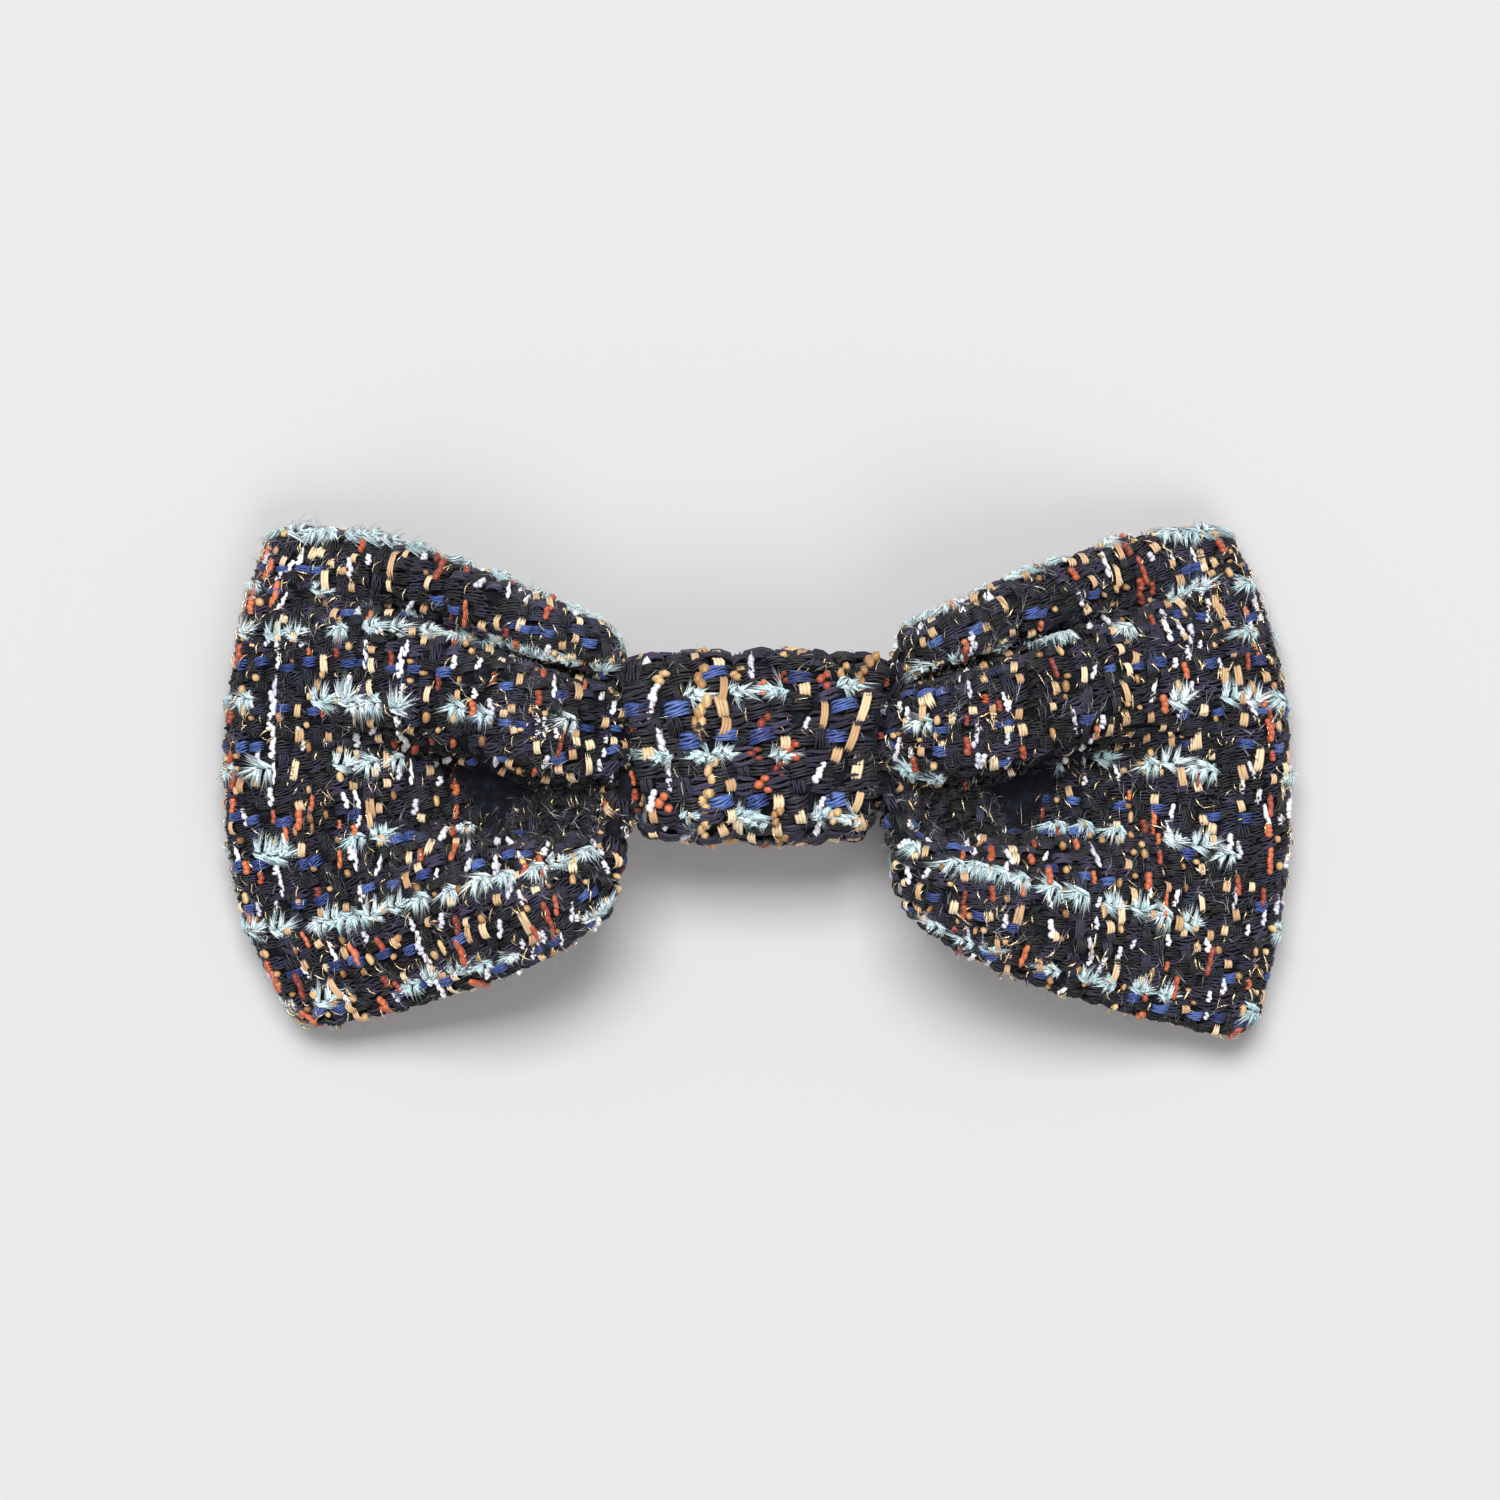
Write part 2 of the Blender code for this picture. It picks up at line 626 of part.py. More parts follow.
def make_clip_lever(finish):
    line = lever_line()
    halves = []
    for x, _ in line:
        half = LEVER_WIDTH / 2
        if x < BASE_TIP_X + TIP_RUN:
            half = TIP_WIDTH / 2
        if x > TAB_ROOT.lerp(TAB_END, 0.5).x:
            half = TAB_WIDTH / 2
        halves.append(half)
    lever = bent_strip("clip_lever", line, halves, finish, tooth_shift=1)
    radius = BASE_BOTTOM - AIR - PIVOT_Z
    add_ears(lever, LEVER_WIDTH / 2, radius, LEVER_FLAT_Z, finish)
    set_origin(lever, PIVOT)
    for modifier in lever.modifiers:
        set_origin(modifier.object, PIVOT)
    return lever


def make_clip_pin(finish):
    """The pin with its two riveted heads, turned about its own axis."""
    inner = BASE_WIDTH / 2 + PIN_END_PLAY
    outer = inner + PIN_HEAD
    profile = (
        (0.0, -outer),
        (PIN_HEAD_RADIUS * 0.7, -outer),
        (PIN_HEAD_RADIUS, -inner - PIN_HEAD * 0.4),
        (PIN_HEAD_RADIUS, -inner),
        (PIN_RADIUS, -inner),
        (PIN_RADIUS, inner),
        (PIN_HEAD_RADIUS, inner),
        (PIN_HEAD_RADIUS, inner + PIN_HEAD * 0.4),
        (PIN_HEAD_RADIUS * 0.7, outer),
        (0.0, outer),
    )
    bm = bmesh.new()
    points = [bm.verts.new((r, y, 0.0)) for r, y in profile]
    lines = [bm.edges.new(pair) for pair in zip(points, points[1:])]
    bmesh.ops.spin(
        bm, geom=points + lines, axis=(0, 1, 0), cent=(0, 0, 0), angle=2 * math.pi, steps=16
    )
    bmesh.ops.remove_doubles(bm, verts=bm.verts, dist=1e-6)
    pin = mesh_object("clip_pin", bm, finish)
    pin.location = PIVOT
    return pin


def make_clip_spring(finish):
    """A torsion spring round the pin. One leg bears on the base and the other on the thumb tab."""
    steps_per_turn = 14
    turns = SPRING_TURNS + 0.5
    width = turns * (SPRING_WIRE + COIL_GAP)
    leg_end_x = PIVOT_X + SPRING_LEG
    leg_share = SPRING_LEG / (TAB_END.x - TAB_ROOT.x)
    tab_top = TAB_ROOT.lerp(TAB_END, leg_share).y + PLATE / 2
    upper_end = BASE_BOTTOM - AIR - SPRING_WIRE / 2
    lower_end = tab_top + AIR + SPRING_WIRE / 2
    side_y = KNOT_RISE + width / 2
    points = [Vector((leg_end_x, side_y, upper_end))]
    steps = round(steps_per_turn * turns)
    for i in range(steps + 1):
        turn = 2 * math.pi * turns * i / steps
        coil = Vector((-math.sin(turn), 0.0, math.cos(turn))) * COIL_RADIUS
        points.append(Vector((PIVOT_X, side_y - width * i / steps, PIVOT_Z)) + coil)
    points.append(Vector((leg_end_x, side_y - width, lower_end)))
    return thread_object("clip_spring", points, SPRING_WIRE, finish)


def make_clip_tacks(finish):
    """Threads that hold the clip's base to the back of the bow, round its edges."""
    half = BASE_WIDTH / 2 + AIR + THREAD / 2
    low = BASE_BOTTOM - AIR - THREAD / 2
    high = BASE_TOP + THREAD / 2
    for word, x in (("left", -(KNOT_SIDE + JAW_TACK)), ("right", PIVOT_X + TAIL_TACK)):
        outline = (
            (-half, high),
            (-half, low + THREAD),
            (-half + THREAD, low),
            (half - THREAD, low),
            (half, low + THREAD),
            (half, high),
        )
        points = [Vector((x, KNOT_RISE + y, z)) for y, z in outline]
        thread_object(f"clip_tack_{word}", points, THREAD, finish)


def main():
    clear_scene()
    tweed = material("tweed", (0.030, 0.034, 0.060), 0.9)
    canvas = material("canvas", (0.62, 0.58, 0.50), 0.95)
    thread = material("thread", (0.020, 0.022, 0.035), 0.6)
    steel = material("nickel_plated_steel", (0.78, 0.77, 0.74), 0.25, 1.0)

    make_bow_loop(tweed)
    make_bow_interlining(canvas)
    make_loop_stitches(thread)
    make_knot_band(tweed)
    make_knot_interlining(canvas)
    make_gather_thread(thread)
    make_band_stitches(thread)
    make_clip_base(steel)
    make_clip_lever(steel)
    make_clip_pin(steel)
    make_clip_spring(steel)
    make_clip_tacks(thread)


main()
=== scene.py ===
# %% [markdown]
# # A bow tie in bouclé tweed
#
# A pre-tied bow tie is a strip of cloth folded lengthwise, bent into a flat loop, pinched in the
# middle and wrapped with a short knot band. This one is cut from a fancy tweed: a dark woollen
# ground crossed by ribbon, bouclé, eyelash and metal yarns. Seen from an arm's length the cloth's
# folds and the single floats of yarn count equally, so both are made as real geometry.
#
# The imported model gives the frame. Its solids stay where they are; the cloth is made again, finer,
# in the same place.

import json
import math

import bmesh
import bpy
import numpy as np
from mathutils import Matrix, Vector

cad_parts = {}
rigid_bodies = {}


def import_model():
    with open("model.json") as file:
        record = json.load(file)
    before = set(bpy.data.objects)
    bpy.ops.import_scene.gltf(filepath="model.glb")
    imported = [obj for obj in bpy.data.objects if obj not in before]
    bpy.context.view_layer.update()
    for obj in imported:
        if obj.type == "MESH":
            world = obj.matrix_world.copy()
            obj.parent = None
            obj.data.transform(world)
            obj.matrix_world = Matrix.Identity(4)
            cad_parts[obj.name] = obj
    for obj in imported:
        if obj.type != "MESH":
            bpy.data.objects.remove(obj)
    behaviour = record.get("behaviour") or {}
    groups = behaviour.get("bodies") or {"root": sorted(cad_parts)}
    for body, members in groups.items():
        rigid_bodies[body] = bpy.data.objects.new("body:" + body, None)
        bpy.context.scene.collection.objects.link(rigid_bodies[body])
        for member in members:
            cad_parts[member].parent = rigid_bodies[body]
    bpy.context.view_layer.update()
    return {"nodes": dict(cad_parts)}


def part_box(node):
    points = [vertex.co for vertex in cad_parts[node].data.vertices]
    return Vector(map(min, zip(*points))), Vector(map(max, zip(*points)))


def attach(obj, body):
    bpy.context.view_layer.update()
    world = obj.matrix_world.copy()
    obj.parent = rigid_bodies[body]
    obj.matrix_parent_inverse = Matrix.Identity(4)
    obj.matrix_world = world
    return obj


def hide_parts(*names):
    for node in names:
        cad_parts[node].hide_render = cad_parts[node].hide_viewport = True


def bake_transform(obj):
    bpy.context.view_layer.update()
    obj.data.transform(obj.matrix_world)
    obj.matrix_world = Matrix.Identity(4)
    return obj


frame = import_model()

# %% [markdown]
# The driving sizes come from the frame's own boxes, so the cloth follows if the model is resized.
# Only the cloth's own facts are stated here. Its thickness and outline are those of the solids; its
# creases are a little deeper than theirs, as soft cloth folds. Everything is in metres.

# %% Sizes
AIR = 0.0003
bow_low, bow_high = (Vector(corner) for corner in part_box("bow_loop"))
knot_low, knot_high = (Vector(corner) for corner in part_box("knot_band"))
base_low, base_high = (Vector(corner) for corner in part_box("clip_base"))

BOW_WIDTH = bow_high.x - bow_low.x
BOW_HEIGHT = bow_high.y - bow_low.y
WALL = 0.0034
PINCHED_WALL = 0.0018
PINCH_DEPTH = 0.0086
PINCH_ARCH = 0.0016
PLEAT_STEEPNESS = 0.123
WING_PLEAT = 0.0026
FOLD_RADIUS = 0.0030
CORNER_THINNING = 0.27
BACK_INSET = 0.0008
CORNER_INSET = {1: (0.0060, 0.0035), -1: (0.0045, 0.0075)}
CORNER_POWER = 2.3
TOP_FLARE = 0.0121
BOTTOM_FLARE = 0.0104
TOP_CURVE = 1.15
BOTTOM_CURVE = 0.42
FLARE_RUN = 0.0032
PLEAT_RUN = 0.0050
LOOSEN_RUN = 0.0200
LEVEL_RUN = 0.0080
FLATTEN_RUN = 0.0250
CREASE_END = 0.0150
CREASES = (
    (-1.00, -1.00, 0.20),
    (-0.78, -0.80, 0.90),
    (-0.42, -0.20, -0.80),
    (-0.14, 0.18, -1.00),
    (0.14, 0.40, 0.95),
    (0.40, 0.56, 1.00),
    (0.66, 0.78, -1.00),
    (0.90, 0.95, 0.85),
    (1.00, 1.00, 0.20),
)
PUFF_RUN = 0.0085
PUFF_END = 0.0560
PUFF_RISE = 0.0010
PUFF_DEPTH = 0.7
VALLEY_START = 0.0200
VALLEY_RUN = 0.0100
VALLEY_DEPTH = 2.5
VALLEY_SHARPNESS = 1.4
VALLEY_END = 0.0460
BACK_DROP = 0.0140
PILE = 0.0004
INTERLINING = 0.0003
SLOT = 0.0009
SLOT_INSET = 0.00145
JOIN_GAP = 0.0006
THREAD = 0.0005

KNOT_RISE = (knot_low.y + knot_high.y) / 2
KNOT_SIDE = (knot_high.x - knot_low.x) / 2
BAND = 0.0020
KNOT_CANVAS = 0.0005
CLIP_REACH = max(-base_low.x, base_high.x) + 0.0012
LOOP_BACK = base_high.z + THREAD + 2 * AIR
LOOP_FRONT = LOOP_BACK + PINCH_DEPTH
PINCH_HALF = (knot_high.y - knot_low.y) / 2 - BAND - KNOT_CANVAS - THREAD - 3 * AIR
PINCH_PLEAT = PLEAT_STEEPNESS * PINCH_HALF
BACK_PINCH_Z = LOOP_BACK + PINCHED_WALL / 2 + PINCH_PLEAT
FRONT_PINCH_Z = LOOP_FRONT - PINCHED_WALL / 2 - PINCH_PLEAT
print(f"bow {BOW_WIDTH * 1000:.1f} x {BOW_HEIGHT * 1000:.1f} mm")
print(f"the knot's centre is {KNOT_RISE * 1000:.1f} mm above the bow's")

# %% [markdown]
# ## The camera, the table and the light
#
# The tie lies on a white table and is seen from straight above with a long lens, so its outline is
# hardly foreshortened. One broad soft light stands beyond the tie's top edge; it models the folds
# and lets a soft shadow fall towards the viewer. A small warm lamp on the near side and a weak,
# even sky keep the shadows open.

# %% Stage
VIEW_WIDTH = 0.16816
VIEW_CENTRE = (-0.00084, 0.0035)
LENS = 120.0
SENSOR = 36.0
EYE_HEIGHT = 0.010 + VIEW_WIDTH * LENS / SENSOR
TABLE = 3.0


def add_light(name, place, size, power, colour):
    """A rectangular lamp that points at the middle of the bow."""
    data = bpy.data.lights.new(name, "AREA")
    data.shape = "RECTANGLE"
    data.size, data.size_y = size
    data.energy = power
    data.color = colour
    lamp = bpy.data.objects.new(name, data)
    bpy.context.scene.collection.objects.link(lamp)
    lamp.location = place
    lamp.rotation_euler = Vector(place).to_track_quat("Z", "Y").to_euler()


def make_stage():
    scene = bpy.context.scene
    scene.view_settings.view_transform = "Standard"
    camera_data = bpy.data.cameras.new("camera")
    camera_data.lens = LENS
    camera_data.sensor_width = SENSOR
    camera_data.clip_start = 0.01
    camera = bpy.data.objects.new("camera", camera_data)
    scene.collection.objects.link(camera)
    camera.location = (*VIEW_CENTRE, EYE_HEIGHT)
    scene.camera = camera

    add_light("window", (-0.20, 1.15, 2.40), (1.70, 1.00), 106.0, (1.0, 0.99, 0.98))
    add_light("fill", (0.50, -1.10, 1.60), (1.2, 1.2), 19.0, (1.0, 0.97, 0.95))
    world = bpy.data.worlds.new("room")
    world.use_nodes = True
    sky = world.node_tree.nodes["Background"].inputs
    sky["Color"].default_value = (1.0, 0.98, 0.965, 1)
    sky["Strength"].default_value = 0.36
    scene.world = world

    mesh = bpy.data.meshes.new("table")
    corners = [(-1, -1), (1, -1), (1, 1), (-1, 1)]
    mesh.from_pydata([(x * TABLE, y * TABLE, 0) for x, y in corners], [], [(0, 1, 2, 3)])
    table = bpy.data.objects.new("table", mesh)
    scene.collection.objects.link(table)
    return table


table = make_stage()
print(f"camera {EYE_HEIGHT * 1000:.0f} mm above the table")

# %% [markdown]
# ## Small helpers for materials
#
# Every finish is a node tree. One function adds a node, sets its properties and its sockets, and
# links what feeds it, so that each material below reads as a short list of what it is made of.

# %% Node helper
RAMP = "ShaderNodeValToRGB"
MIX = "ShaderNodeMix"
NOISE = "ShaderNodeTexNoise"
MAPPING = "ShaderNodeMapping"
BUMP = "ShaderNodeBump"
SURFACE = "ShaderNodeBsdfPrincipled"
COORDINATES = "ShaderNodeTexCoord"


def srgb(hex_colour):
    """An sRGB hex colour as linear red, green, blue and alpha."""
    found = []
    for start in (1, 3, 5):
        value = int(hex_colour[start : start + 2], 16) / 255
        found.append(value / 12.92 if value <= 0.04045 else ((value + 0.055) / 1.055) ** 2.4)
    return (*found, 1.0)


def add(tree, kind, sockets=None, stops=None, **settings):
    """Adds a node. A socket's value is a number, a colour, an output socket to link, or a node
    whose first output in use is linked. stops are a colour ramp's (place, hex colour) pairs."""
    node = tree.nodes.new(kind)
    for name, value in settings.items():
        setattr(node, name, value)
    for name, value in (sockets or {}).items():
        if isinstance(value, bpy.types.Node):
            value = next(output for output in value.outputs if output.enabled)
        if isinstance(value, bpy.types.NodeSocket):
            tree.links.new(value, node.inputs[name])
        else:
            node.inputs[name].default_value = value
    for i, (place, colour) in enumerate(stops or ()):
        points = node.color_ramp.elements
        point = points[i] if i < len(points) else points.new(place)
        point.position = place
        point.color = srgb(colour)
    return node


def new_material(name):
    made = bpy.data.materials.new(name)
    made.use_nodes = True
    made.node_tree.nodes.clear()
    return made, made.node_tree


def finish_material(tree, sockets):
    """Every finish here is one surface shader, given by its sockets."""
    add(tree, "ShaderNodeOutputMaterial", {"Surface": add(tree, SURFACE, sockets)})


# %% [markdown]
# ## Yarn materials
#
# A spun yarn is a bundle of fibres, so each float needs fine streaks along its own length. The
# floats carry a UV map whose U runs along the yarn and whose V runs round it; a noise stretched
# along U gives the fibres. Each float also carries a random number, its tint, which picks its shade
# from the range that a dye lot and the light between fibres give. Wool is rough with a soft sheen
# from its standing hairs; viscose and lurex are smooth and catch the light.

# %% Yarn material


def yarn_material(name, shades, roughness, sheen, streak=0.5, specular=0.5, metallic=0.0):
    """shades are hex colours from the darkest to the lightest float."""
    made, tree = new_material(name)
    tint = add(tree, "ShaderNodeAttribute", attribute_name="tint").outputs["Fac"]
    place = add(tree, "ShaderNodeUVMap", uv_map="yarn")
    long = add(tree, MAPPING, {"Vector": place, "Scale": (1.6, 15.0, 1.0)})
    shifted = add(tree, "ShaderNodeVectorMath", {0: long, 1: tint}, operation="ADD")
    sockets = {"Vector": shifted, "Scale": 1.0, "Detail": 3.0, "Roughness": 0.65}
    fibres = add(tree, NOISE, sockets)
    stops = [(i / (len(shades) - 1), shade) for i, shade in enumerate(shades)]
    dyed = add(tree, RAMP, {"Fac": tint}, stops=stops)
    grey = [(0.28, "#4a4a4a"), (0.50, "#c8c8c8"), (0.66, "#ffffff")]
    shadow = add(tree, RAMP, {"Fac": fibres}, stops=grey)
    sockets = {0: streak, 6: dyed, 7: shadow}
    colour = add(tree, MIX, sockets, data_type="RGBA", blend_type="MULTIPLY")
    bump = add(tree, BUMP, {"Height": fibres, "Strength": 0.6, "Distance": 0.00012})
    sockets = {
        "Base Color": colour,
        "Roughness": roughness,
        "Metallic": metallic,
        "Sheen Weight": sheen,
        "Sheen Roughness": 0.45,
        "Specular IOR Level": specular,
        "Normal": bump,
    }
    finish_material(tree, sockets)
    return made


WOOL = ["#08090e", "#12151f", "#1d2234", "#0b0b0e", "#241f33", "#2b3455"]
PLUM = ["#1f1b2c", "#322b46", "#484060"]
SNOW = ["#c9cadb", "#e4e5ee", "#f6f6f8"]
ICE = ["#a3c8d1", "#c3dce2", "#e4eff1"]
FINISHES = {
    "ground": yarn_material("worsted_navy_wool", WOOL, 0.55, 0.05, 0.9, 0.5),
    "purple": yarn_material("crimped_plum_wool", PLUM, 0.75, 0.1, 0.8, 0.35),
    "blue": yarn_material("royal_blue_viscose", ["#24387a", "#3a58ab", "#6080cf"], 0.34, 0.1, 0.85),
    "tan": yarn_material("flat_tan_ribbon", ["#c0966a", "#dcb98c", "#f3dfb9"], 0.48, 0.2, 0.35),
    "white": yarn_material("white_boucle_cotton", SNOW, 0.7, 0.3, 0.35),
    "gold": yarn_material("gold_nub_cotton", ["#8a5f30", "#c2925a", "#e8c48c"], 0.42, 0.15, 0.6),
    "orange": yarn_material("rust_nub_cotton", ["#7d2b16", "#bd4f2c", "#e07a48"], 0.42, 0.15, 0.6),
    "eyelash": yarn_material("pale_blue_eyelash", ICE, 0.55, 0.4, 0.1),
    "chenille": yarn_material("black_chenille", ["#060607", "#0e0d10", "#19161b"], 0.9, 0.1, 0.3),
    "lurex": yarn_material("gold_lurex", ["#f6d59c", "#fff1d2"], 0.3, 0.0, 0.0, 0.5, 1.0),
    "hair": yarn_material("loose_fibre", ["#3a3c48", "#8d8f9a", "#dcdde0"], 0.5, 0.2, 0.0),
}
print("yarn finishes", len(FINISHES))

# %% [markdown]
# ## The loop's shape
#
# The cloth strip runs from the centre back, out along the back of one wing, round its outer fold,
# across the front, round the other fold and back. A place on it has two coordinates: *along* the
# strip, from 0 to 6, and *across* it, from -1 at the bottom edge to 1 at the top. At the knot the
# strip is pinched into pleats. They fan out over the wing and die away before the outer fold. The
# functions below say this for whole arrays of places at once.

# %% Loop surface


def ease(start, end, at):
    t = np.clip((at - start) / (end - start), 0, 1)
    return t * t * (3 - 2 * t)


def mix(a, b, share):
    return a + (b - a) * share


def fold_radius(w):
    return FOLD_RADIUS * (1 - CORNER_THINNING * w * w)


def fold_reach(side, w):
    right = np.where(w > 0, *CORNER_INSET[1])
    left = np.where(w > 0, *CORNER_INSET[-1])
    inset = np.where(side > 0, right, left) * np.abs(w) ** CORNER_POWER
    return BOW_WIDTH / 2 - WALL / 2 - fold_radius(w) - inset


def half_wall(d):
    return mix(PINCHED_WALL, WALL, ease(KNOT_SIDE, KNOT_SIDE + LOOSEN_RUN, d)) / 2


def edges(d, front):
    """The strip's bottom and top edges at a distance d from the middle. front is 1, or 0 behind."""
    corner = BOW_WIDTH / 2 - max(max(pair) for pair in CORNER_INSET.values())
    run = np.clip((d - KNOT_SIDE) / (corner - KNOT_SIDE), 0, 1)
    top = mix(KNOT_RISE + TOP_FLARE, BOW_HEIGHT / 2, np.sin(np.pi / 2 * run) ** TOP_CURVE)
    bottom = mix(KNOT_RISE - BOTTOM_FLARE, -BOW_HEIGHT / 2, run**BOTTOM_CURVE)
    flared = ease(KNOT_SIDE + AIR, KNOT_SIDE + AIR + FLARE_RUN, d)
    trim = half_wall(d) + BACK_INSET * flared * (1 - front)
    top = mix(KNOT_RISE + PINCH_HALF, top, flared) - trim
    bottom = mix(KNOT_RISE - PINCH_HALF, bottom, flared) + trim
    return bottom, top


def pleat(d, w):
    run = ease(KNOT_SIDE, BOW_WIDTH / 2 - CREASE_END, d)
    lines = [(mix(near, far, run), height) for near, far, height in CREASES]
    found = np.full(np.broadcast(d, w).shape, float(lines[0][1]))
    for (w0, h0), (w1, h1) in zip(lines, lines[1:]):
        share = np.clip((w - w0) / (w1 - w0), 0, 1)
        found = np.where(w > w0, mix(h0, h1, (1 - np.cos(np.pi * share)) / 2), found)
    return 1 - 2 * ((1 - found) / 2) ** VALLEY_SHARPNESS


def middle(along, w):
    """Points of the middle of the cloth, for arrays of along and w of one shape."""
    right = along <= 3
    side = np.where(right, 1.0, -1.0)
    t = np.where(right, along, 6 - along)
    front = t > 1.5
    share = np.clip(np.where(front, 3 - t, t), 0, 1)
    d = fold_reach(side, 0 * w) * share
    straight = KNOT_SIDE + FLARE_RUN
    stretch = (fold_reach(side, w) - straight) / (fold_reach(side, 0 * w) - straight)
    d = np.where(d > straight, straight + (d - straight) * stretch, d)

    facing = np.clip(t - 1, 0, 1)
    bottom, top = edges(d, facing)
    y = (top + bottom) / 2 + w * (top - bottom) / 2

    reach, radius = fold_reach(side, w), fold_radius(w)
    loose = ease(KNOT_SIDE, KNOT_SIDE + PLEAT_RUN, d)
    arch = PINCH_ARCH * w**4 * (1 - loose)
    waves = pleat(d, w)
    puffed = ease(KNOT_SIDE, KNOT_SIDE + PUFF_RUN, d) * (1 - ease(PUFF_END / 2, PUFF_END, d))
    rise = mix(PINCH_PLEAT, WING_PLEAT, loose) * (1 - ease(reach - FLATTEN_RUN, reach, d))
    deep = VALLEY_DEPTH * ease(VALLEY_START, VALLEY_START + VALLEY_RUN, d)
    rise = rise * (1 + np.where(waves > 0, PUFF_DEPTH * puffed, deep))
    level = mix(FRONT_PINCH_Z, WALL / 2 + 2 * radius, ease(KNOT_SIDE + LEVEL_RUN, reach, d))
    level = level + PUFF_RISE * puffed
    front_z = level + rise * waves - arch
    level = mix(BACK_PINCH_Z, WALL / 2, ease(CLIP_REACH, CLIP_REACH + BACK_DROP, d))
    back_z = level + PINCH_PLEAT * (1 - loose) * waves + arch

    turn = np.pi * facing
    folding = (t > 1) & (t < 2)
    fold_z = WALL / 2 + radius * (1 - np.cos(turn))
    z = np.where(folding, fold_z, np.where(front, front_z, back_z))
    x = side * (d + np.where(folding, radius * np.sin(turn), 0))
    return np.stack([x, y, z], axis=-1)


def unit(vectors):
    return vectors / np.maximum(np.linalg.norm(vectors, axis=-1, keepdims=True), 1e-12)


def loop_skin(along, w, angle, edge, depth=None, inset=0.0):
    """Points off the middle of the cloth: angle 0 is its outer face, pi its inner face, and between
    them it rounds the hem at the edge -1 or 1. depth is the distance, by default half the wall."""
    along, w, angle, edge = np.broadcast_arrays(along, w, angle, edge)
    w = w * (1 - inset / (BOW_HEIGHT / 2))
    step_a, step_w = 0.012, 0.03
    here = middle(along, w)
    ahead = middle(np.minimum(along + step_a, 6), w) - middle(np.maximum(along - step_a, 0), w)
    across = middle(along, np.minimum(w + step_w, 1)) - middle(along, np.maximum(w - step_w, -1))
    across = unit(across)
    out = -unit(np.cross(ahead, across))
    t = np.where(along <= 3, along, 6 - along)
    share = np.where(t <= 1, t, np.where(t <= 2, 1.0, 3 - t))
    if depth is None:
        depth = half_wall(share * fold_reach(1, 0.0)) - PILE * np.cos(np.clip(angle, 0, np.pi / 2))
    turned = out * np.cos(angle)[..., None] + across * (edge * np.sin(angle))[..., None]
    return here + turned * np.asarray(depth)[..., None]


print("centre front", np.round(middle(np.array(3.0), np.array(0.0)) * 1000, 2))

# %% [markdown]
# ## From coordinates to meshes
#
# A closed strip of cloth is a grid: one direction follows the strip, the other goes right round its
# section, over the outer face, the hem, the inner face and the other hem. The columns of the
# section are listed once as (across, angle, edge), and the same list serves every cloth piece.

# %% Grids


def section(outer, hem):
    """Columns round the cloth: the outer face, the top hem, the inner face, the bottom hem."""
    face = np.linspace(-1, 1, outer)
    turn = np.linspace(0, np.pi, hem + 2)[1:-1]
    w = np.concatenate([face, np.ones(hem), face[::-1], -np.ones(hem)])
    angle = np.concatenate([0 * face, turn, 0 * face + np.pi, turn[::-1]])
    edge = np.concatenate([0 * face, np.ones(hem), 0 * face, -np.ones(hem)])
    return w, angle, edge


def new_piece(name, mesh, finish):
    mesh.materials.clear()
    mesh.materials.append(finish)
    piece = bpy.data.objects.new(name, mesh)
    bpy.context.scene.collection.objects.link(piece)
    return piece


def grid_mesh(name, layers):
    """A mesh from (points, wraps down the rows, wraps round the columns) layers."""
    points, faces, start = [], [], 0
    for grid, wrap_rows, wrap_columns in layers:
        rows, columns = grid.shape[:2]
        points.append(grid.reshape(-1, 3))
        index = start + np.arange(rows * columns).reshape(rows, columns)
        if wrap_rows:
            index = np.vstack([index, index[:1]])
        if wrap_columns:
            index = np.hstack([index, index[:, :1]])
        corners = (index[:-1, :-1], index[:-1, 1:], index[1:, 1:], index[1:, :-1])
        faces.append(np.stack(corners, axis=-1).reshape(-1, 4))
        start += rows * columns
    points, quads = np.concatenate(points), np.concatenate(faces)
    mesh = bpy.data.meshes.new(name)
    mesh.vertices.add(len(points))
    mesh.vertices.foreach_set("co", np.ascontiguousarray(points, dtype=np.float32).ravel())
    mesh.loops.add(quads.size)
    mesh.loops.foreach_set("vertex_index", quads.ravel().astype(np.int32))
    mesh.polygons.add(len(quads))
    starts = np.arange(0, quads.size, quads.shape[1], dtype=np.int32)
    mesh.polygons.foreach_set("loop_start", starts)
    mesh.update(calc_edges=True)
    mesh.validate()
    mesh.shade_smooth()
    return mesh


def point_outwards(mesh):
    """A closed mesh's signed volume says whether its faces point out."""
    mesh.calc_loop_triangles()
    points = np.empty(len(mesh.vertices) * 3)
    mesh.vertices.foreach_get("co", points)
    corners = np.empty(len(mesh.loop_triangles) * 3, dtype=np.int32)
    mesh.loop_triangles.foreach_get("vertices", corners)
    a, b, c = points.reshape(-1, 3)[corners.reshape(-1, 3).T]
    if np.einsum("ij,ij->i", a, np.cross(b, c)).sum() < 0:
        mesh.flip_normals()


def wool_relief(grid, strength, seed):
    """Small random lumps, the height of loose wool between the floats."""
    chance = np.random.default_rng(seed)
    lumps = chance.normal(0, 1, grid.shape[:2])
    for axis in (0, 1):
        lumps = (np.roll(lumps, 1, axis) + 2 * lumps + np.roll(lumps, -1, axis)) / 4
    return lumps * strength


# %% [markdown]
# ## The cloth's ground
#
# Behind the floats is the closed body of the tweed, almost black, with the dark wool's lumps. It is
# a real tube with a slot for its canvas, as the sewn strip is, so it can be declared as a sheet.

# %% Ground cloth


